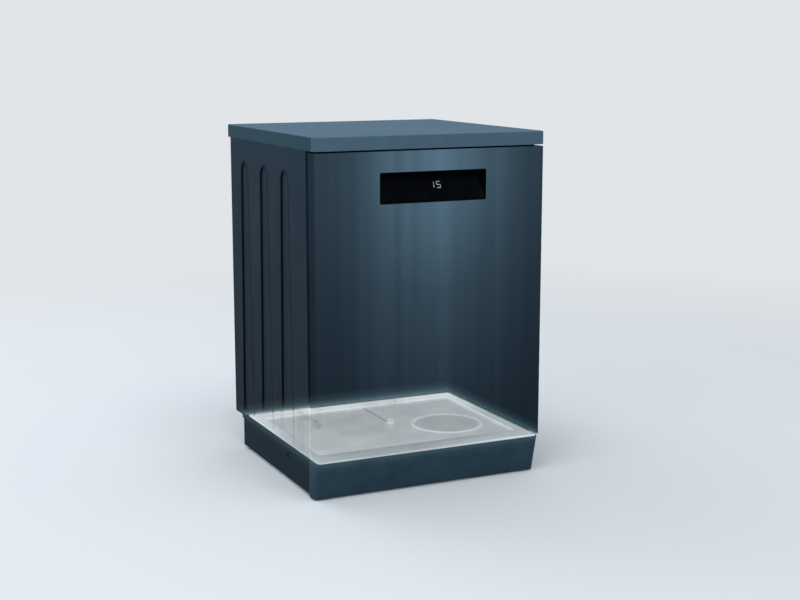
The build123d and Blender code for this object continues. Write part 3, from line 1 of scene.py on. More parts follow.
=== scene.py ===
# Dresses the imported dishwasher: finishes for every piece, round wire racks, connections, screw heads, display
# numerals, light and camera.
import json
from math import cos, hypot, radians, sin, tau

import bpy
from mathutils import Euler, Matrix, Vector


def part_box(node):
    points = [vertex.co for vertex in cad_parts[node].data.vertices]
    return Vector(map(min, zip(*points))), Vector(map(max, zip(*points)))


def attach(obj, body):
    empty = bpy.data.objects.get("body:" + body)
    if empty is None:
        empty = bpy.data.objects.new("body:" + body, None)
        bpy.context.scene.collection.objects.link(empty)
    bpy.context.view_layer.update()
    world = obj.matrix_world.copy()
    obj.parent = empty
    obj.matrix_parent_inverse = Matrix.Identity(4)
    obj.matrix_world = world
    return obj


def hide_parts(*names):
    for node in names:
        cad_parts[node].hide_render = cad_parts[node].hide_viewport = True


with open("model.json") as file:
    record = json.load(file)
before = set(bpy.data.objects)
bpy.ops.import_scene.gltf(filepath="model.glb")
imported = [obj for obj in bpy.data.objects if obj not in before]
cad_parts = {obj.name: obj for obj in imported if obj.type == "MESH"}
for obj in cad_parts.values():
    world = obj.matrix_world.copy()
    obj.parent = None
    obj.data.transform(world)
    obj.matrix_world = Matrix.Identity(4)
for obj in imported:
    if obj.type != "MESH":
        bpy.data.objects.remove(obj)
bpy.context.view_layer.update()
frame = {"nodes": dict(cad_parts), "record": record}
nodes = frame["nodes"]
MM = 0.001


# Nodes and colours
def srgb(code):
    """Linear colour of an sRGB hex code."""
    channels = [int(code[i:i + 2], 16) / 255 for i in (1, 3, 5)]
    return [c / 12.92 if c <= 0.04045 else ((c + 0.055) / 1.055) ** 2.4 for c in channels] + [1.0]


def node(tree, kind, feeds=None, to=(), stops=(), **settings):
    """Adds a shader node and gives its working output. Feeds are its inputs, by name or number, each another node's
    socket or a plain value; to are the sockets its output goes to; stops are a colour ramp's places, each with a hex
    colour or a grey level."""
    made = tree.nodes.new(kind)
    for key, value in settings.items():
        setattr(made, key, value)
    for key, source in (feeds or {}).items():
        if isinstance(source, bpy.types.NodeSocket):
            tree.links.new(source, made.inputs[key])
        else:
            made.inputs[key].default_value = source
    for i, (position, colour) in enumerate(stops):
        elements = made.color_ramp.elements
        element = elements[i] if i < len(elements) else elements.new(position)
        element.position = position
        element.color = srgb(colour) if isinstance(colour, str) else (colour, colour, colour, 1.0)
    output = next(socket for socket in made.outputs if socket.enabled)
    for socket in to:
        tree.links.new(output, socket)
    return output


def start_material(name, roughness, metallic=0.0, ior=1.45, specular=0.5):
    """New node material: its tree, its shader's sockets, and the piece's own coordinates in metres, whole and split."""
    material = bpy.data.materials.new(name)
    material.use_nodes = True
    tree = material.node_tree
    skin = tree.nodes["Principled BSDF"].inputs
    skin["Roughness"].default_value = roughness
    skin["Metallic"].default_value = metallic
    skin["Specular IOR Level"].default_value = specular
    if not metallic:
        skin["IOR"].default_value = ior
    place = node(tree, "ShaderNodeTexCoord").node.outputs["Object"]
    split = node(tree, "ShaderNodeSeparateXYZ", {"Vector": place}).node.outputs
    return material, tree, skin, place, split


# Finishes. Heights and widths in these are the machine's own, in metres. Grain, orange peel, brushing and rolling lines
# are too fine to show at this distance and are drawn several times coarser, at the sizes given. The spans are where
# most values of a noise pattern lie.
noise_span = {"From Min": 0.3, "From Max": 0.7}
narrow_span = {"From Min": 0.35, "From Max": 0.65}
# Half width and foot of the painted sheen on the door, and the height of the panels' heads
painted_sheen_half, painted_sheen_foot, panel_head = 0.31, 0.15, 0.82


def outside_tray(tree, split):
    """How far a point lies outside the see-through wedge over the base tray, in metres: above the slanting plane that
    ends at the tray's rear rim, or beyond the one that ends at its right rim."""
    planes = {"Y": (0.2803, 0.1511), "X": (0.544, 0.2565)}
    over = []
    for axis, (fall, middle_height) in planes.items():
        level = node(tree, "ShaderNodeMath", {0: split[axis], 1: fall, 2: split["Z"]}, operation="MULTIPLY_ADD")
        over.append(node(tree, "ShaderNodeMath", {0: level, 1: middle_height}, operation="SUBTRACT"))
    return node(tree, "ShaderNodeMath", {0: over[0], 1: over[1]}, operation="MAXIMUM")


def painted_tray_glow(tree, skin, distance, strength):
    """Painted glow of the tray: pale emission on the surface round it, fading with distance."""
    skin["Emission Color"].default_value = srgb("#86b4bd")
    reach = 30 * MM
    near = node(tree, "ShaderNodeMapRange", {"Value": distance, "From Min": reach, "From Max": 0.0})
    node(tree, "ShaderNodeValToRGB", {"Fac": near}, [skin["Emission Strength"]],
         stops=[(0.0, 0.0), (0.5, 0.2 * strength), (1.0, strength)])


def let_through(tree, skin, split):
    """Lets the base tray show: the sheet is all but clear over the tray and closes along the tray's outline, with a
    painted glow along it.
    """
    outside = outside_tray(tree, split)
    closing = node(tree, "ShaderNodeMapRange", {"Value": outside, "From Min": -4 * MM, "From Max": 8 * MM})
    node(tree, "ShaderNodeValToRGB", {"Fac": closing}, [skin["Alpha"]], stops=[(0.0, 0.08), (0.4, 0.4), (1.0, 1.0)])
    # Painted glow of the tray on the sheet round its outline
    painted_tray_glow(tree, skin, outside, 0.22)


def open_over_tray(tree, skin, split):
    """Opens an inner sheet over the base tray, with a short edge."""
    node(tree, "ShaderNodeMapRange", {"Value": outside_tray(tree, split), "From Min": -2 * MM, "From Max": 4 * MM,
                                      "To Min": 0.03}, [skin["Alpha"]])


def brushed_inox():
    """Stainless steel sheet, brushed upright and tinted dark blue-grey: fine upright streaks in faint broad bands, and
    a painted sheen in the colour, a painted highlight that is brightest near the top of the door's middle and dies away
    to its edges, with painted shade towards the foot."""
    material, tree, skin, place, split = start_material("brushed_dark_inox", 0.42, metallic=0.72, specular=0.08)
    # Painted sheen: a painted highlight across the door's middle and high up, mixed into the base colour
    across = node(tree, "ShaderNodeMapRange", {"Value": split["X"], "From Min": -painted_sheen_half, "From Max": painted_sheen_half})
    painted_sheen_across = node(tree, "ShaderNodeValToRGB", {"Fac": across},
                stops=[(0.0, 0.1), (0.25, 0.45), (0.5, 1.0), (0.75, 0.5), (1.0, 0.08)])
    height = node(tree, "ShaderNodeMapRange", {"Value": split["Z"], "From Min": painted_sheen_foot, "From Max": panel_head})
    rise = node(tree, "ShaderNodeValToRGB", {"Fac": height},
                stops=[(0.0, 0.05), (0.5, 0.48), (0.85, 1.0), (1.0, 0.95)])
    for soft in (painted_sheen_across, rise):
        soft.node.color_ramp.interpolation = "B_SPLINE"
    share = node(tree, "ShaderNodeMath", {0: painted_sheen_across, 1: rise}, operation="MULTIPLY")
    sheen = node(tree, "ShaderNodeValToRGB", {"Fac": share},
                 stops=[(0.0, "#222f3a"), (0.4, "#475c6a"), (1.0, "#6f90a3")])
    # Painted shade: the colour darkens towards the door's foot
    painted_shade_to_foot = node(tree, "ShaderNodeMapRange", {"Value": split["Z"], "From Min": 0.2, "From Max": panel_head,
                                             "To Min": 0.82})
    streak_mm, band_mm = (1.2, 1.2, 160), (38, 38, 2500)
    brushed = node(tree, "ShaderNodeMapping", {"Vector": place, "Scale": [1 / (s * MM) for s in streak_mm]})
    streaks = node(tree, "ShaderNodeTexNoise", {"Vector": brushed, "Scale": 1.0, "Detail": 3.0, "Roughness": 0.65})
    streak_tone = node(tree, "ShaderNodeMapRange", {"Value": streaks, **noise_span, "To Min": 0.86})
    upright = node(tree, "ShaderNodeMapping", {"Vector": place, "Scale": [1 / (s * MM) for s in band_mm]})
    bands = node(tree, "ShaderNodeTexNoise", {"Vector": upright, "Scale": 1.0, "Detail": 1.0})
    band_tone = node(tree, "ShaderNodeMapRange", {"Value": bands, **narrow_span, "To Min": 0.87, "To Max": 1.06})
    even = node(tree, "ShaderNodeMath", {0: painted_shade_to_foot, 1: streak_tone}, operation="MULTIPLY")
    shade = node(tree, "ShaderNodeMath", {0: even, 1: band_tone}, operation="MULTIPLY")
    node(tree, "ShaderNodeVectorMath", {0: sheen, "Scale": shade}, [skin["Base Color"]], operation="SCALE")
    node(tree, "ShaderNodeMapRange", {"Value": streaks, **noise_span, "To Min": 0.36, "To Max": 0.5},
         [skin["Roughness"]])
    skin["Anisotropic"].default_value = 0.4
    skin["Specular Tint"].default_value = srgb("#2c3a44")
    node(tree, "ShaderNodeBump", {"Height": streaks, "Distance": 0.02 * MM}, [skin["Normal"]])
    let_through(tree, skin, split)
    return material


def off_rib_edge(tree, split):
    """How far a point of a side panel lies from the outline of the nearest pressed rib, in metres: three ribs 142 mm
    apart, 76 mm wide at the foot and narrowing to a round head of 47 mm."""
    pitch, front = 142 * MM, -184 * MM
    rib_foot, foot_half = 108 * MM, 38 * MM
    rib_head, head_half = 736.5 * MM, 23.5 * MM
    margin = 0.1 * MM
    along = node(tree, "ShaderNodeClamp", {"Value": split["Y"], "Min": front + margin,
                                           "Max": front + 3 * pitch - margin})
    shifted = node(tree, "ShaderNodeMath", {0: along, 1: -front}, operation="ADD")
    folded = node(tree, "ShaderNodeMath", {0: shifted, 1: pitch}, operation="FLOORED_MODULO")
    aside = node(tree, "ShaderNodeMath", {0: folded, 1: pitch / 2}, operation="SUBTRACT")
    over = node(tree, "ShaderNodeMath", {0: split["Z"], 1: rib_head}, operation="SUBTRACT")
    up = node(tree, "ShaderNodeMath", {0: over, 1: 0.0}, operation="MAXIMUM")
    spoke = node(tree, "ShaderNodeCombineXYZ", {"X": aside, "Y": up})
    reach = node(tree, "ShaderNodeVectorMath", {0: spoke}, operation="LENGTH")
    half = node(tree, "ShaderNodeMapRange", {"Value": split["Z"], "From Min": rib_foot, "From Max": rib_head,
                                             "To Min": foot_half, "To Max": head_half})
    past = node(tree, "ShaderNodeMath", {0: reach, 1: half}, operation="SUBTRACT")
    return node(tree, "ShaderNodeMath", {0: past}, operation="ABSOLUTE")


def side_enamel(name, clear):
    """Baked satin enamel on sheet steel: slightly uneven gloss with a fine orange peel, painted light that makes it a
    little lighter high up, and a thin band of painted shade along the edges of the pressed ribs."""
    material, tree, skin, place, split = start_material(name, 0.5, specular=0.03)
    peel = node(tree, "ShaderNodeTexNoise", {"Vector": place, "Scale": 1 / (1.6 * MM), "Detail": 1.0})
    cloud_mm = (120, 120, 200)
    upright = node(tree, "ShaderNodeMapping", {"Vector": place, "Scale": [1 / (s * MM) for s in cloud_mm]})
    cloud = node(tree, "ShaderNodeTexNoise", {"Vector": upright, "Scale": 1.0, "Detail": 2.0})
    height = node(tree, "ShaderNodeMapRange", {"Value": split["Z"], "From Min": 0.1, "From Max": panel_head})
    # Painted light: the colour lightens towards the panels' heads
    tone = node(tree, "ShaderNodeValToRGB", {"Fac": height},
                stops=[(0.0, "#11212b"), (0.5, "#162834"), (1.0, "#1d3240")])
    uneven = node(tree, "ShaderNodeMapRange", {"Value": cloud, **narrow_span, "To Min": 0.9})
    # Painted shade along the outline of each pressed rib
    rib_shade_width = 11 * MM
    painted_rib_shade = node(tree, "ShaderNodeMapRange", {"Value": off_rib_edge(tree, split), "From Max": rib_shade_width,
                                                  "To Min": 0.2}, interpolation_type="SMOOTHSTEP")
    shade = node(tree, "ShaderNodeMath", {0: uneven, 1: painted_rib_shade}, operation="MULTIPLY")
    node(tree, "ShaderNodeVectorMath", {0: tone, "Scale": shade}, [skin["Base Color"]], operation="SCALE")
    node(tree, "ShaderNodeMapRange", {"Value": cloud, **noise_span, "To Min": 0.45, "To Max": 0.56},
         [skin["Roughness"]])
    node(tree, "ShaderNodeBump", {"Height": peel, "Distance": 0.02 * MM}, [skin["Normal"]])
    if clear:
        let_through(tree, skin, split)
    return material


def laminate():
    """Melamine laminate on chipboard: satin, with a very fine pearl grain, painted shade that darkens its edges below
    the top face, and a dark joint behind the trim."""
    material, tree, skin, place, split = start_material("worktop_laminate", 0.6, specular=0.01)
    grain = node(tree, "ShaderNodeTexNoise", {"Vector": place, "Scale": 1 / MM, "Detail": 3.0, "Roughness": 0.7})
    cloud = node(tree, "ShaderNodeTexNoise", {"Vector": place, "Scale": 1 / (180 * MM)})
    # The top face and its edges are a lit and a shaded copy of one laminate: painted shade on the edges
    top = node(tree, "ShaderNodeValToRGB", {"Fac": grain}, stops=[(0.3, "#496272"), (0.7, "#557083")])
    edge = node(tree, "ShaderNodeValToRGB", {"Fac": grain}, stops=[(0.3, "#334955"), (0.7, "#3b525e")])
    edge_round, top_face = 848.8 * MM, 849.8 * MM
    joint_front, joint_rear = -287.0 * MM, -286.6 * MM
    at_top = node(tree, "ShaderNodeMapRange", {"Value": split["Z"], "From Min": edge_round, "From Max": top_face})
    sheet = node(tree, "ShaderNodeMix", {0: at_top, 6: edge, 7: top}, data_type="RGBA")
    uneven = node(tree, "ShaderNodeMapRange", {"Value": cloud, **noise_span, "To Min": 0.9})
    joint = node(tree, "ShaderNodeMapRange", {"Value": split["Y"], "From Min": joint_rear, "From Max": joint_front,
                                              "To Min": 1.0, "To Max": 0.25})
    shade = node(tree, "ShaderNodeMath", {0: uneven, 1: joint}, operation="MULTIPLY")
    node(tree, "ShaderNodeVectorMath", {0: sheet, "Scale": shade}, [skin["Base Color"]], operation="SCALE")
    node(tree, "ShaderNodeMapRange", {"Value": grain, **noise_span, "To Min": 0.5, "To Max": 0.6},
         [skin["Roughness"]])
    node(tree, "ShaderNodeBump", {"Height": grain, "Distance": 0.03 * MM}, [skin["Normal"]])
    return material


def grained_plastic(name, dark, light, roughness=0.5, grain_mm=0.9, specular=0.4, clear=False, painted_glow_top=0.0):
    """Moulded polypropylene or ABS: a fine spark-eroded grain with a soft, slightly cloudy sheen, and, given a top
    height, a painted glow of the tray that fades down from it.
    """
    material, tree, skin, place, split = start_material(name, roughness, ior=1.5, specular=specular)
    grain = node(tree, "ShaderNodeTexNoise", {"Vector": place, "Scale": 1 / (grain_mm * MM), "Detail": 2.0})
    cloud = node(tree, "ShaderNodeTexNoise", {"Vector": place, "Scale": 1 / (60 * MM)})
    node(tree, "ShaderNodeValToRGB", {"Fac": cloud}, [skin["Base Color"]], stops=[(0.3, dark), (0.7, light)])
    node(tree, "ShaderNodeMapRange", {"Value": cloud, **noise_span, "To Min": roughness - 0.05,
                                      "To Max": roughness + 0.06}, [skin["Roughness"]])
    node(tree, "ShaderNodeBump", {"Height": grain, "Distance": 0.03 * MM}, [skin["Normal"]])
    if clear:
        open_over_tray(tree, skin, split)
    # Painted glow of the tray on the moulding, fading down from its top
    if painted_glow_top:
        below = node(tree, "ShaderNodeMath", {0: painted_glow_top, 1: split["Z"]}, operation="SUBTRACT")
        painted_tray_glow(tree, skin, below, 0.1)
    return material


def ghost_plastic(name, dark, light, alpha):
    """Moulded polypropylene or zinc sheet of the hidden base unit, drawn thin so that the tray under it stays in
    view."""
    material, tree, skin, place, _ = start_material(name, 0.5, ior=1.5)
    grain = node(tree, "ShaderNodeTexNoise", {"Vector": place, "Scale": 1 / (1.2 * MM), "Detail": 2.0})
    cloud = node(tree, "ShaderNodeTexNoise", {"Vector": place, "Scale": 1 / (40 * MM)})
    node(tree, "ShaderNodeValToRGB", {"Fac": cloud}, [skin["Base Color"]], stops=[(0.3, dark), (0.7, light)])
    node(tree, "ShaderNodeMapRange", {"Value": cloud, **noise_span, "To Min": 0.45, "To Max": 0.6},
         [skin["Roughness"]])
    skin["Alpha"].default_value = alpha
    node(tree, "ShaderNodeBump", {"Height": grain, "Distance": 0.03 * MM}, [skin["Normal"]])
    return material


def tray_plastic():
    """Pale moulded polypropylene, satin, with a painted glow so that its rim and ring read in the dark base: on the rim
    the glow grows to the rear and to the right and is fainter at the left. Painted shade darkens it from the rim down
    to the lowest floor, and the pool inside the ring is a little deeper in tone."""
    material, tree, skin, place, split = start_material("glowing_tray_polypropylene", 0.42, ior=1.5)
    floor_level, rim_level = 89 * MM, 97 * MM
    rim_foot, rim_head = 93.5 * MM, 96.5 * MM
    rim_half, rim_rear = 0.29, 0.19
    ring_centre, pool_edge, ring_edge = (147 * MM, -90 * MM, 0), 83 * MM, 86 * MM
    grain = node(tree, "ShaderNodeTexNoise", {"Vector": place, "Scale": 1 / MM, "Detail": 2.0})
    cloud = node(tree, "ShaderNodeTexNoise", {"Vector": place, "Scale": 1 / (90 * MM)})
    height = node(tree, "ShaderNodeMapRange", {"Value": split["Z"], "From Min": floor_level, "From Max": rim_level})
    # Painted shade: lightest on the rim, darker down to the lowest floor and groove
    painted_shade_by_height = node(tree, "ShaderNodeValToRGB", {"Fac": height},
                  stops=[(0.0, "#6f767b"), (0.3, "#8b9195"), (0.36, "#a6abae"), (0.5, "#adb2b5"), (0.7, "#bcc3c6"),
                         (1.0, "#ccd3d6")])
    uneven = node(tree, "ShaderNodeMapRange", {"Value": cloud, **noise_span, "To Min": 0.9})
    plan = node(tree, "ShaderNodeCombineXYZ", {"X": split["X"], "Y": split["Y"]})
    off_ring = node(tree, "ShaderNodeVectorMath", {0: plan, 1: ring_centre}, operation="DISTANCE")
    pool = node(tree, "ShaderNodeMapRange", {"Value": off_ring, "From Min": pool_edge, "From Max": ring_edge,
                                             "To Min": 0.86})
    shade = node(tree, "ShaderNodeMath", {0: uneven, 1: pool}, operation="MULTIPLY")
    # The painted colour also gives the colour of the painted glow
    node(tree, "ShaderNodeVectorMath", {0: painted_shade_by_height, "Scale": shade}, [skin["Base Color"], skin["Emission Color"]],
         operation="SCALE")
    # Painted glow: emission strength, on the rim rising to the rear and to the right and dimmer at the left, even
    # elsewhere
    back = node(tree, "ShaderNodeMapRange", {"Value": split["Y"], "From Min": -rim_half, "From Max": rim_rear})
    glow_to_rear = node(tree, "ShaderNodeValToRGB", {"Fac": back}, stops=[(0.0, 0.2), (0.6, 0.9), (1.0, 1.35)])
    glow_to_right = node(tree, "ShaderNodeMapRange", {"Value": split["X"], "From Max": rim_half, "To Min": 0.2,
                                                 "To Max": 0.8})
    along = node(tree, "ShaderNodeMath", {0: glow_to_rear, 1: glow_to_right}, operation="MAXIMUM")
    glow_dim_left = node(tree, "ShaderNodeMapRange", {"Value": split["X"], "From Min": -rim_half, "From Max": -0.1,
                                                "To Min": 0.82})
    rim = node(tree, "ShaderNodeMath", {0: along, 1: glow_dim_left}, operation="MULTIPLY")
    even = node(tree, "ShaderNodeMapRange", {"Value": cloud, **noise_span, "To Min": 1.12, "To Max": 1.2})
    on_rim = node(tree, "ShaderNodeMapRange", {"Value": split["Z"], "From Min": rim_foot, "From Max": rim_head})
    node(tree, "ShaderNodeMix", {0: on_rim, 2: even, 3: rim}, [skin["Emission Strength"]])
    node(tree, "ShaderNodeMapRange", {"Value": cloud, **noise_span, "To Min": 0.38, "To Max": 0.5},
         [skin["Roughness"]])
    node(tree, "ShaderNodeBump", {"Height": grain, "Distance": 0.03 * MM}, [skin["Normal"]])
    return material


def rolled_steel(name, dark, light, along_mm, roughness=0.3, bitumen=False, clear=False):
    """Stainless or zinc-coated sheet: fine rolling lines along one way and a soft, broken reflection. Under the tub's
    floor it is covered with matt black bitumen felt."""
    material, tree, skin, place, split = start_material(name, roughness, metallic=1.0)
    along = node(tree, "ShaderNodeMapping", {"Vector": place, "Scale": [1 / (s * MM) for s in along_mm]})
    lines = node(tree, "ShaderNodeTexNoise", {"Vector": along, "Scale": 1.0, "Detail": 3.0, "Roughness": 0.6})
    cloud = node(tree, "ShaderNodeTexNoise", {"Vector": place, "Scale": 1 / (70 * MM)})
    colour = node(tree, "ShaderNodeValToRGB", {"Fac": lines}, [skin["Base Color"]], stops=[(0.3, dark), (0.7, light)])
    node(tree, "ShaderNodeMapRange", {"Value": cloud, **noise_span, "To Min": roughness - 0.015,
                                      "To Max": roughness + 0.02}, [skin["Roughness"]])
    skin["Anisotropic"].default_value = 0.3
    node(tree, "ShaderNodeBump", {"Height": lines, "Distance": 0.01 * MM}, [skin["Normal"]])
    if bitumen:
        normal = node(tree, "ShaderNodeNewGeometry").node.outputs["Normal"]
        facing = node(tree, "ShaderNodeSeparateXYZ", {"Vector": normal}).node.outputs["Z"]
        down = node(tree, "ShaderNodeMapRange", {"Value": facing, "From Min": -0.02, "From Max": -0.1})
        floor_high, floor_low = 0.235, 0.225
        low = node(tree, "ShaderNodeMapRange", {"Value": split["Z"], "From Min": floor_high, "From Max": floor_low})
        under = node(tree, "ShaderNodeMath", {0: down, 1: low}, operation="MULTIPLY")
        felt = node(tree, "ShaderNodeValToRGB", {"Fac": cloud}, stops=[(0.3, "#11161b"), (0.7, "#1a2026")])
        node(tree, "ShaderNodeMix", {0: under, 6: colour, 7: felt}, [skin["Base Color"]], data_type="RGBA")
        node(tree, "ShaderNodeMath", {0: 1.0, 1: under}, [skin["Metallic"]], operation="SUBTRACT")
    if clear:
        open_over_tray(tree, skin, split)
    return material


def gloss_black(name, tint="#04070b", roughness=0.12):
    """High-gloss black moulding: deep colour, a clear reflection and faint moulding waves."""
    material, tree, skin, place, _ = start_material(name, roughness, ior=1.5, specular=0.02)
    waves = node(tree, "ShaderNodeTexNoise", {"Vector": place, "Scale": 1 / (45 * MM)})
    node(tree, "ShaderNodeValToRGB", {"Fac": waves}, [skin["Base Color"]], stops=[(0.3, tint), (0.7, "#06090d")])
    node(tree, "ShaderNodeMapRange", {"Value": waves, **noise_span, "To Min": roughness - 0.04,
                                      "To Max": roughness + 0.04}, [skin["Roughness"]])
    node(tree, "ShaderNodeBump", {"Height": waves, "Distance": 0.05 * MM}, [skin["Normal"]])
    return material


def lit_numerals():
    """White light-emitting segments behind smoked glass: cool white with slightly uneven brightness."""
    material, tree, skin, place, _ = start_material("lit_segments", 0.4)
    uneven = node(tree, "ShaderNodeTexNoise", {"Vector": place, "Scale": 1 / (6 * MM)})
    node(tree, "ShaderNodeValToRGB", {"Fac": uneven}, [skin["Base Color"], skin["Emission Color"]],
         stops=[(0.3, "#94a0a8"), (0.7, "#b9c4cb")])
    skin["Emission Strength"].default_value = 0.35
    return material


def soft_rubber(name, dark, light):
    """Extruded rubber: matt and dusty, with a faint grit."""
    material, tree, skin, place, _ = start_material(name, 0.75, ior=1.52)
    dust = node(tree, "ShaderNodeTexNoise", {"Vector": place, "Scale": 1 / (8 * MM), "Detail": 3.0})
    grit = node(tree, "ShaderNodeTexNoise", {"Vector": place, "Scale": 1 / (0.8 * MM)})
    node(tree, "ShaderNodeValToRGB", {"Fac": dust}, [skin["Base Color"]], stops=[(0.35, dark), (0.7, light)])
    node(tree, "ShaderNodeMapRange", {"Value": dust, **noise_span, "To Min": 0.68, "To Max": 0.82},
         [skin["Roughness"]])
    node(tree, "ShaderNodeBump", {"Height": grit, "Distance": 0.05 * MM}, [skin["Normal"]])
    return material


def nylon_coating():
    """Nylon powder fused on steel wire: a thick, slightly waxy grey coat with tiny dimples."""
    material, tree, skin, place, _ = start_material("grey_nylon_coating", 0.42, ior=1.53)
    dimple = node(tree, "ShaderNodeTexNoise", {"Vector": place, "Scale": 1 / (1.1 * MM), "Detail": 1.0})
    cloud = node(tree, "ShaderNodeTexNoise", {"Vector": place, "Scale": 1 / (30 * MM)})
    node(tree, "ShaderNodeValToRGB", {"Fac": cloud}, [skin["Base Color"]], stops=[(0.3, "#79838b"), (0.7, "#8d979e")])
    node(tree, "ShaderNodeMapRange", {"Value": cloud, **noise_span, "To Min": 0.36, "To Max": 0.5},
         [skin["Roughness"]])
    skin["Coat Weight"].default_value = 0.2
    node(tree, "ShaderNodeBump", {"Height": dimple, "Distance": 0.06 * MM}, [skin["Normal"]])
    return material


# One finish for each slot of the record. Tub and door liner are of one sheet, and inner plastics of one moulding grade.
tub_sheet = ("#a9afb3", "#c3c8cb", (2.5, 2.5, 160), 0.3)
inner_moulding = ("#4a5359", "#566067", 0.5, 0.9)
# Height of the base mouldings' tops, from which their painted glow fades down
base_top = 96 * MM
finishes = {
    "dark_inox": brushed_inox(),
    "side_paint": side_enamel("satin_side_enamel", clear=False),
    "worktop_laminate": laminate(),
    "trim_plastic": grained_plastic("trim_abs", "#465d6b", "#4d6575", 0.48, 0.7, specular=0.06),
    # Kick plate moulding; the base frame takes a darker copy of it
    "base_plastic": grained_plastic("base_polypropylene", "#293d48", "#304753", 0.55, 0.9, specular=0.04,
                                    painted_glow_top=base_top),
    "tray_plastic": tray_plastic(),
    "black_gloss": gloss_black("pocket_gloss_abs"),
    "black_glass": gloss_black("smoked_display_pmma", "#020408", 0.06),
    "strip_plastic": grained_plastic("strip_abs", "#12161a", "#181d22", 0.38, 0.6),
    "tub_steel": rolled_steel("tub_stainless_steel", *tub_sheet, bitumen=True),
    "galvanised_steel": rolled_steel("zinc_plated_steel", "#8d9499", "#aab0b4", (12, 12, 12), 0.4),
    "seal_rubber": soft_rubber("seal_epdm", "#16191c", "#24282b"),
    "inner_plastic": grained_plastic("inner_polypropylene", *inner_moulding),
    "grey_plastic": grained_plastic("light_grey_polypropylene", "#a3aaae", "#b2b8bc", 0.48, 0.9),
    "rack_coating": nylon_coating(),
    "board_green": grained_plastic("board_laminate", "#123a29", "#1a4a34", 0.4, 0.8),
    "hose_rubber": soft_rubber("hose_epdm", "#1a1d20", "#26292d"),
}

# Finishes of single pieces: those over the base tray are see-through there
see_through_side = side_enamel("satin_side_enamel_left", clear=True)
see_through_liner = rolled_steel("liner_stainless_steel", *tub_sheet, clear=True)
ghost_unit = ghost_plastic("base_unit_polypropylene", "#141f28", "#18252e", 0.02)
ghost_metal = ghost_plastic("base_unit_zinc_sheet", "#1a252e", "#1e2b34", 0.04)
lit_segments = lit_numerals()
# Base frame: a darker copy of the base moulding, painted shade on the base's sides, with the same painted glow under
# its top
shaded_frame_plastic = grained_plastic("base_frame_polypropylene_shaded", "#15242d", "#1b2c36", 0.58, 0.9, specular=0.03,
                                painted_glow_top=base_top)
see_through_filter = grained_plastic("filter_polypropylene", *inner_moulding, clear=True)
special = {"side_panel_left": see_through_side, "door_liner": see_through_liner, "coarse_filter": see_through_filter,
           "hinge_brackets": ghost_metal, "door_springs": ghost_metal, "hinge_arms": ghost_metal,
           "hinge_pins": ghost_metal, "leak_float": finishes["tray_plastic"], "base_frame": shaded_frame_plastic}
for hidden in ("sump", "circulation_pump", "drain_pump", "softener_tank", "base_hoses"):
    special[hidden] = ghost_unit


def dress(piece, material):
    """Gives a piece one material."""
    piece.data.materials.clear()
    piece.data.materials.append(material)


slot_of = {entry["node"]: entry["material_slot"] for entry in frame["record"]["subparts"]}
for name, cad_piece in nodes.items():
    cad_piece.data.materials.clear()
    cad_piece.data.materials.append(special.get(name, finishes[slot_of[name]]))


# Modelling helpers
def select_only(piece):
    """Makes one piece the only selected and active one."""
    bpy.ops.object.select_all(action="DESELECT")
    piece.select_set(True)
    bpy.context.view_layer.objects.active = piece


def smooth(angle=35):
    """Smooths the active piece's shading except across sharp edges."""
    bpy.ops.object.shade_smooth_by_angle(angle=radians(angle))


def settle(piece):
    """Puts a piece's place, turn and size into its mesh, so that its object sits at the origin."""
    select_only(piece)
    bpy.ops.object.transform_apply(location=True, rotation=True, scale=True)


def finish_piece(piece, name, body, slot, material=None):
    """Names a finished piece, dresses it and lets it ride on its body."""
    piece.name = name
    piece.data.name = name
    dress(piece, material or finishes[slot])
    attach(piece, body)
    return piece


def join(pieces):
    """Joins several pieces to one."""
    bpy.ops.object.select_all(action="DESELECT")
    for piece in pieces:
        piece.select_set(True)
    bpy.context.view_layer.objects.active = pieces[0]
    bpy.ops.object.join()
    return pieces[0]


def apply_modifier(piece, kind, **settings):
    """Adds a modifier with its settings to the active piece and applies it."""
    bpy.ops.object.modifier_add(type=kind)
    modifier = piece.modifiers[-1]
    for key, value in settings.items():
        setattr(modifier, key, value)
    bpy.ops.object.modifier_apply(modifier=modifier.name)


def own_copy(piece):
    """Copy of a piece with its own mesh."""
    copy = piece.copy()
    copy.data = piece.data.copy()
    bpy.context.collection.objects.link(copy)
    return copy


def loose_copy(name):
    """Free copy of a model piece with its triangles merged, selected and ready to be changed."""
    copy = own_copy(nodes[name])
    copy.parent = None
    select_only(copy)
    bpy.ops.object.mode_set(mode="EDIT")
    bpy.ops.mesh.select_all(action="SELECT")
    bpy.ops.mesh.remove_doubles(threshold=0.01 * MM)
    bpy.ops.object.mode_set(mode="OBJECT")
    return copy


def edit_points(piece, wanted):
    """Opens a piece in edit mode with the points selected whose place passes a test."""
    select_only(piece)
    for group in (piece.data.polygons, piece.data.edges):
        group.foreach_set("select", [False] * len(group))
    piece.data.vertices.foreach_set("select", [bool(wanted(v.co)) for v in piece.data.vertices])
    bpy.ops.object.mode_set(mode="EDIT")
    bpy.ops.mesh.select_mode(type="VERT")


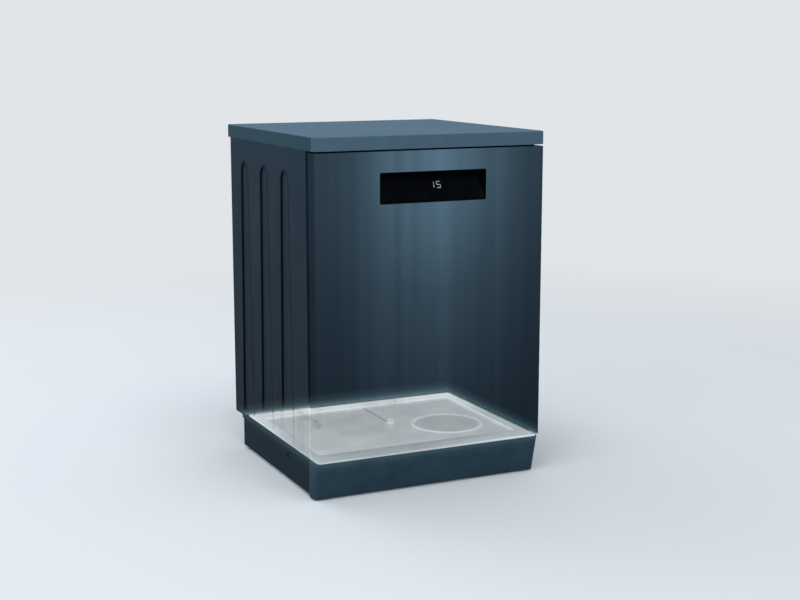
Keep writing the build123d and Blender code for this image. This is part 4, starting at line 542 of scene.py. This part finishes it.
def wire_piece(paths, radius, sides=8):
    """Round bent wires with rounded tips as one mesh. A path is a list of points in metres, and a closed one ends in
    None."""
    tip_sizes = ((0.0, 0.35), (0.3, 0.75), (1.0, 1.0))
    curve = bpy.data.curves.new("wires", "CURVE")
    curve.dimensions = "3D"
    curve.bevel_depth = radius
    curve.bevel_resolution = (sides - 4) // 2
    curve.use_fill_caps = True
    for path in paths:
        closed = path[-1] is None
        points = [(Vector(point), 1.0) for point in (path[:-1] if closed else path)]
        if not closed:
            for end, inner in ((0, 1), (-1, -2)):
                tip = points[end][0]
                back = (points[inner][0] - tip).normalized() * radius
                rounded = [(tip + back * share, size) for share, size in tip_sizes]
                points[end:end + 1 or None] = rounded if end == 0 else rounded[::-1]
        spline = curve.splines.new("POLY")
        spline.points.add(len(points) - 1)
        spline.use_cyclic_u = closed
        for target, (point, size) in zip(spline.points, points):
            target.co = (*point, 1.0)
            target.radius = size
    piece = bpy.data.objects.new("wires", curve)
    bpy.context.collection.objects.link(piece)
    select_only(piece)
    bpy.ops.object.convert(target="MESH")
    piece = bpy.context.active_object
    smooth(50)
    return piece


def bent(points, radius, steps=5):
    """A path with its inner corners rounded to a bend radius."""
    points = [Vector(p) for p in points]
    path = [points[0]]
    for before, corner, after in zip(points, points[1:], points[2:]):
        inward = (before - corner).normalized()
        outward = (after - corner).normalized()
        reach = min(radius, (before - corner).length / 2, (after - corner).length / 2)
        for i in range(steps + 1):
            t = i / steps
            path.append(corner + inward * reach * (1 - t) ** 2 + outward * reach * t ** 2)
    path.append(points[-1])
    return path


# Wire racks: round wires bent to the outline of the square bars that stand for them in the model. Wires that cross are
# welded, so they sink into each other a little.
rim_wire = 4.0 * MM
thin_wire = 3.2 * MM
weld = 0.3 * MM
tine_rise = 3.0 * MM


def evenly(low, high, count):
    """Evenly spaced places from low to high, both included."""
    return [low + (high - low) * i / (count - 1) for i in range(count)]


def rounded_ring(half, y0, y1, z, inset, corner=22 * MM, steps=6):
    """Closed rectangle of wire at one height with rounded corners, drawn in from the rack's outline."""
    x1, front, rear = half - inset, y0 + inset, y1 - inset
    path = []
    for x, y, start in ((x1 - corner, rear - corner, 0), (corner - x1, rear - corner, 90),
                        (corner - x1, front + corner, 180), (x1 - corner, front + corner, 270)):
        for i in range(steps + 1):
            angle = radians(start + 90 * i / steps)
            path.append((x + corner * cos(angle), y + corner * sin(angle), z))
    return path + [None]


def rack_wires(half, y0, y1, floor, tall, floor_xs, cross_ys, side_ys):
    """Paths of one basket, and the height of its floor wires: thick rings below and above, a thin ring between, and
    thin wires bent up the walls."""
    bend = 12 * MM
    top = floor + tall
    thick = [rounded_ring(half, y0, y1, z, rim_wire / 2) for z in (floor + rim_wire / 2, top - rim_wire / 2)]
    inset = rim_wire + thin_wire / 2 - weld
    ends = top - rim_wire
    along_z = floor + rim_wire + thin_wire / 2 - weld
    thin = [rounded_ring(half, y0, y1, floor + tall / 2, inset + thin_wire - weld)]
    for x in floor_xs:
        thin.append(bent([(x, y0 + inset, ends), (x, y0 + inset, along_z), (x, y1 - inset, along_z),
                          (x, y1 - inset, ends)], bend))
    across_z = along_z - thin_wire + weld
    for y in cross_ys:
        thin.append(bent([(inset - half, y, ends), (inset - half, y, across_z), (half - inset, y, across_z),
                          (half - inset, y, ends)], bend))
    for x in (inset - half, half - inset):
        thin += [[(x, y, floor + rim_wire / 2), (x, y, ends)] for y in side_ys]
    return thick, thin, along_z


def moulded_parts(name):
    """The pieces of a basket's model that aren't wire bars: blocks, stub axles, runners and clips, as one mesh."""
    widest_bar = 4.5 * MM
    loose_copy(name)
    bpy.ops.object.mode_set(mode="EDIT")
    bpy.ops.mesh.separate(type="LOOSE")
    bpy.ops.object.mode_set(mode="OBJECT")
    kept = []
    for piece in list(bpy.context.selected_objects):
        corners = [v.co for v in piece.data.vertices]
        sizes = sorted(max(c[i] for c in corners) - min(c[i] for c in corners) for i in range(3))
        if sizes[1] < widest_bar:
            bpy.data.objects.remove(piece)
        else:
            kept.append(piece)
    whole = join(kept)
    select_only(whole)
    smooth(35)
    return whole


def wire_basket(name, thick, thin):
    """Round-wire basket in place of the model's square bars; blocks, axles and runners stay as modelled."""
    blocks = moulded_parts(name)
    piece = join([blocks, wire_piece(thick, rim_wire / 2, 10), wire_piece(thin, thin_wire / 2, 8)])
    finish_piece(piece, name + "_wires", name, "rack_coating")
    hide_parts(name)


def lower_rack():
    """Lower basket with its row of fixed tines on a cross rod."""
    floor_xs = evenly(-200 * MM, 200 * MM, 7)
    between_xs = [(a + b) / 2 for a, b in zip(floor_xs, floor_xs[1:])]
    thick, thin, along_z = rack_wires(half=252 * MM, y0=-226 * MM, y1=226 * MM, floor=254 * MM, tall=142 * MM,
                                      floor_xs=sorted(floor_xs + between_xs), cross_ys=evenly(-175 * MM, 175 * MM, 5),
                                      side_ys=evenly(-150 * MM, 150 * MM, 5))
    foot = along_z + tine_rise
    row, bow, tip = 150 * MM, 150.6 * MM, 152 * MM
    bow_rise, tip_rise = 30 * MM, 58 * MM
    rod_half = 206 * MM
    tines = [[(x, row, foot), (x, bow, foot + bow_rise), (x, tip, foot + tip_rise)] for x in floor_xs]
    tines.append([(-rod_half, row, foot), (rod_half, row, foot)])
    wire_basket("lower_basket", thick, thin + tines)


def upper_rack():
    """Upper basket, closer wired, with two low rows of tines bent from one wire each."""
    thick, thin, along_z = rack_wires(half=246 * MM, y0=-226 * MM, y1=222 * MM, floor=520 * MM, tall=120 * MM,
                                      floor_xs=evenly(-204 * MM, 204 * MM, 13), cross_ys=evenly(-150 * MM, 146 * MM, 5),
                                      side_ys=evenly(-130 * MM, 126 * MM, 4))
    foot = along_z + tine_rise
    first, pitch, count = -100 * MM, 42 * MM, 8
    foot_half, head_half, tall = 9 * MM, 4 * MM, 34 * MM
    row_start, row_end, bend = -120 * MM, 214 * MM, 5 * MM
    loops = []
    for y in (-60 * MM, 90 * MM):
        row = [(row_start, y, foot)]
        for i in range(count):
            x = first + pitch * i
            row += [(x - foot_half, y, foot), (x - head_half, y, foot + tall), (x + head_half, y, foot + tall),
                    (x + foot_half, y, foot)]
        row.append((row_end, y, foot))
        loops.append(bent(row, bend, 4))
    wire_basket("upper_basket", thick, thin + loops)


lower_rack()
upper_rack()


# Display numerals: lit segments that lie on the leaning display plate
def display_numerals():
    """Two seven-segment numerals on the display's plate, each segment a thin bar with rounded corners."""
    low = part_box("display_window")[0]
    back, rise = 24.0, 55.6
    lean = Vector((0, back, rise)).normalized()
    plate = 2.0 * MM
    foot = Vector((0, low[1], low[2] + plate * lean.y))
    digit_width = 9.5 * MM
    digit_height = 15.0 * MM
    bar = 1.3 * MM
    point = bar * 0.42
    end_gap = bar * 0.7
    proud = 0.25 * MM
    start_up = 28 * MM
    across = {"top": (0, 2), "middle": (0, 1), "bottom": (0, 0)}
    upright = {"top_left": (-1, 1.5), "top_right": (1, 1.5), "low_left": (-1, 0.5), "low_right": (1, 0.5)}
    digits = ((4 * MM, ("top_right", "low_right")),
              (21 * MM, ("top", "top_left", "middle", "low_right", "bottom")))
    bars = []
    for x, segments in digits:
        for segment in segments:
            level = across.get(segment) or upright[segment]
            flat = segment in across
            length = (digit_width if flat else digit_height / 2) - end_gap
            bpy.ops.object.select_all(action="DESELECT")
            bpy.ops.mesh.primitive_cube_add(size=1.0)
            piece = bpy.context.active_object
            piece.scale = (length, bar, proud * 2) if flat else (bar, length, proud * 2)
            bpy.ops.object.transform_apply(location=False, rotation=False, scale=True)
            apply_modifier(piece, "BEVEL", width=point, segments=2, affect="EDGES", limit_method="ANGLE")
            up = start_up + level[1] * digit_height / 2
            side = x + level[0] * digit_width / 2
            piece.location = foot + lean * up + Vector((side, 0, 0))
            piece.rotation_euler = (lean.angle(Vector((0, 1, 0))), 0, 0)
            settle(piece)
            bars.append(piece)
    piece = join(bars)
    select_only(piece)
    smooth(30)
    finish_piece(piece, "display_numerals", "door", "black_glass", lit_segments)


display_numerals()


# Rear connections and screws: the cut thread, the hose barbs and the cross-slotted heads that the model leaves plain
connection_z = 140 * MM
stub_length = 21.5 * MM


def lean_core(name, x, z, outer, core):
    """Copy of a connection's model with its stub drawn in round the axis at x and z from its outer to its core radius,
    which leaves room for what is cut on it."""
    copy = loose_copy(name)
    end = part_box(name)[1][1]
    near = 0.1 * MM
    edit_points(copy, lambda p: p.y > end - stub_length and abs(hypot(p.x - x, p.z - z) - outer) < near)
    bpy.ops.transform.resize(value=(core / outer, 1.0, core / outer), center_override=(x, 0, z))
    bpy.ops.object.mode_set(mode="OBJECT")
    smooth(30)
    return copy, end


def threaded_inlet():
    """Water inlet with the pipe thread of 14 turns to the inch round its stub."""
    x, z = -235 * MM, connection_z
    crest, core, pitch, turns, steps = 13.2 * MM, 12.4 * MM, 1.814 * MM, 10, 28
    stub, end = lean_core("inlet_valve", x, z, crest, core)
    ridge, run_out, lead_in = 0.55 * MM, 0.5 * MM, 1.2 * MM
    start = end - lead_in
    helix = []
    for i in range(turns * steps + 1):
        angle = tau * i / steps
        reach = crest - ridge - (run_out if i in (0, turns * steps) else 0.0)
        helix.append((x + reach * cos(angle), start - pitch * i / steps, z + reach * sin(angle)))
    thread = wire_piece([helix], ridge, 6)
    piece = finish_piece(join([stub, thread]), "inlet_valve_threaded", "cabinet", "inner_plastic")
    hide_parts("inlet_valve")


def barbed_drain():
    """Drain spigot with three barbs that hold the hose."""
    x, z = -185 * MM, connection_z
    crest, core, barb, wall = 9.5 * MM, 8.7 * MM, 5.0 * MM, 1.2 * MM
    first, pitch = 3.5 * MM, 6.0 * MM
    stub, end = lean_core("drain_outlet", x, z, crest, core)
    bpy.ops.object.select_all(action="DESELECT")
    bpy.ops.mesh.primitive_cone_add(vertices=48, radius1=crest, radius2=core, depth=barb, end_fill_type="NOTHING",
                                    rotation=(radians(-90), 0, 0))
    ring = bpy.context.active_object
    apply_modifier(ring, "SOLIDIFY", thickness=wall, offset=-1.0)
    smooth(30)
    rings = []
    for i in range(3):
        copy = own_copy(ring)
        copy.location = (x, end - first - pitch * i, z)
        settle(copy)
        rings.append(copy)
    bpy.data.objects.remove(ring)
    piece = finish_piece(join([stub] + rings), "drain_outlet_barbed", "cabinet", "inner_plastic")
    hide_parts("drain_outlet")


def screw_heads():
    """Rear panel's screws with domed heads and a cross recess; one is modelled and copied to the eight places."""
    low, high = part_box("panel_screws")
    head, thick = 4.0 * MM, high[1] - low[1]
    dome = 1.5 * MM
    slot_size = (4.2 * MM, 2.4 * MM, 0.9 * MM)
    rows = 4
    outer_face = thick * 0.49
    bpy.ops.object.select_all(action="DESELECT")
    bpy.ops.mesh.primitive_cylinder_add(vertices=32, radius=head, depth=thick, rotation=(radians(-90), 0, 0))
    bpy.ops.object.transform_apply(location=False, rotation=True, scale=False)
    screw = bpy.context.active_object
    edit_points(screw, lambda p: p.y > outer_face)
    bpy.ops.mesh.select_mode(type="EDGE")
    bpy.ops.mesh.bevel(offset=dome, segments=4, profile=0.6)
    bpy.ops.object.mode_set(mode="OBJECT")
    for turn in (45, 135):
        bpy.ops.object.select_all(action="DESELECT")
        bpy.ops.mesh.primitive_cube_add(size=1.0, location=(0, thick / 2, 0), rotation=(0, radians(turn), 0))
        slot = bpy.context.active_object
        slot.scale = slot_size
        settle(slot)
        select_only(screw)
        apply_modifier(screw, "BOOLEAN", object=slot, operation="DIFFERENCE")
        bpy.data.objects.remove(slot)
    select_only(screw)
    smooth(30)
    copies = []
    for z in evenly(low[2] + head, high[2] - head, rows):
        for x in (low[0] + head, high[0] - head):
            copy = own_copy(screw)
            copy.location = (x, (low[1] + high[1]) / 2, z)
            settle(copy)
            copies.append(copy)
    bpy.data.objects.remove(screw)
    piece = finish_piece(join(copies), "panel_screw_heads", "cabinet", "galvanised_steel")
    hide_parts("panel_screws")


threaded_inlet()
barbed_drain()
screw_heads()


# Stage: pale floor and soft studio light
pale_room = "#e1e5e8"


def straight_or_mirrored(tree):
    """One where a surface is seen by the camera, in a mirror or through glass, and nought where it only gives light."""
    path = node(tree, "ShaderNodeLightPath").node.outputs
    turned = node(tree, "ShaderNodeMath", {0: path["Is Glossy Ray"], 1: path["Is Transmission Ray"]},
                  operation="MAXIMUM")
    return node(tree, "ShaderNodeMath", {0: path["Is Camera Ray"], 1: turned}, operation="MAXIMUM")


def stage_floor():
    """Pale seamless paper: matt with short fibres near the machine, and far away as light as the room behind it."""
    material, tree, skin, place, _ = start_material("pale_paper", 0.85)
    near, distant_edge = 0.9, 3.4
    below_feet = 0.3 * MM
    fibre = node(tree, "ShaderNodeTexNoise", {"Vector": place, "Scale": 1 / (3 * MM)})
    node(tree, "ShaderNodeValToRGB", {"Fac": fibre}, [skin["Base Color"]], stops=[(0.3, "#dce0e3"), (0.7, "#e4e8eb")])
    away = node(tree, "ShaderNodeVectorMath", {0: place}, operation="LENGTH")
    distant = node(tree, "ShaderNodeMapRange", {"Value": away, "From Min": near, "From Max": distant_edge})
    far = node(tree, "ShaderNodeMath", {0: distant, 1: straight_or_mirrored(tree)}, operation="MULTIPLY")
    room = node(tree, "ShaderNodeEmission", {"Color": srgb(pale_room), "Strength": 1.0})
    node(tree, "ShaderNodeMixShader", {0: far, 1: tree.nodes["Principled BSDF"].outputs[0], 2: room},
         [tree.nodes["Material Output"].inputs["Surface"]])
    bpy.ops.object.select_all(action="DESELECT")
    bpy.ops.mesh.primitive_plane_add(size=60.0, location=(0, 0, -below_feet))
    floor = bpy.context.active_object
    floor.name = "floor"
    floor.data.materials.append(material)


def studio_light(name, place, aim, size, watts, tint):
    """Large soft lamp at a place, pointed at the machine."""
    lamp = bpy.data.lights.new(name, "AREA")
    lamp.shape = "RECTANGLE"
    lamp.size, lamp.size_y = size
    lamp.energy = watts
    lamp.color = srgb(tint)[:3]
    made = bpy.data.objects.new(name, lamp)
    made.location = place
    made.rotation_euler = (Vector(aim) - Vector(place)).to_track_quat("-Z", "Y").to_euler()
    bpy.context.collection.objects.link(made)


def studio_world():
    """Even pale room light; the background is the same pale tone."""
    world = bpy.data.worlds.new("studio")
    world.use_nodes = True
    bpy.context.scene.world = world
    tree = world.node_tree
    seen = node(tree, "ShaderNodeBackground", {"Color": srgb(pale_room), "Strength": 1.0})
    room = node(tree, "ShaderNodeBackground", {"Color": srgb("#dfe6ec"), "Strength": 0.72})
    node(tree, "ShaderNodeMixShader", {0: straight_or_mirrored(tree), 1: room, 2: seen},
         [tree.nodes["World Output"].inputs["Surface"]])


stage_floor()
studio_world()
studio_light("key", (-0.4, -1.7, 4.2), (0, 0, 0.45), (2.6, 2.2), 75, "#ffffff")
studio_light("fill", (-3.4, -1.6, 2.2), (0, 0, 0.4), (3.0, 3.0), 21, "#f2f7ff")
studio_light("rim", (-1.4, 2.8, 2.6), (0, 0, 0.6), (2.9, 2.9), 45, "#f2f7ff")

# The photograph's camera: its place in metres, its turn and tilt in degrees and its lens in millimetres
camera_place = (-1.46458, -3.22142, 1.05406)
camera_yaw = 25.2755
camera_pitch = 10.2903
camera_lens = 63.41
camera_data = bpy.data.cameras.new("photo_view")
camera_data.sensor_width = 36.0
camera_data.lens = camera_lens
camera = bpy.data.objects.new("photo_view", camera_data)
camera.location = camera_place
camera.rotation_euler = Euler((radians(90 - camera_pitch), 0, radians(-camera_yaw)))
bpy.context.collection.objects.link(camera)
bpy.context.scene.camera = camera
bpy.context.scene.view_settings.view_transform = "Standard"
# A look at the tray passes more clear sheets than the usual eight
bpy.context.scene.cycles.transparent_max_bounces = 24
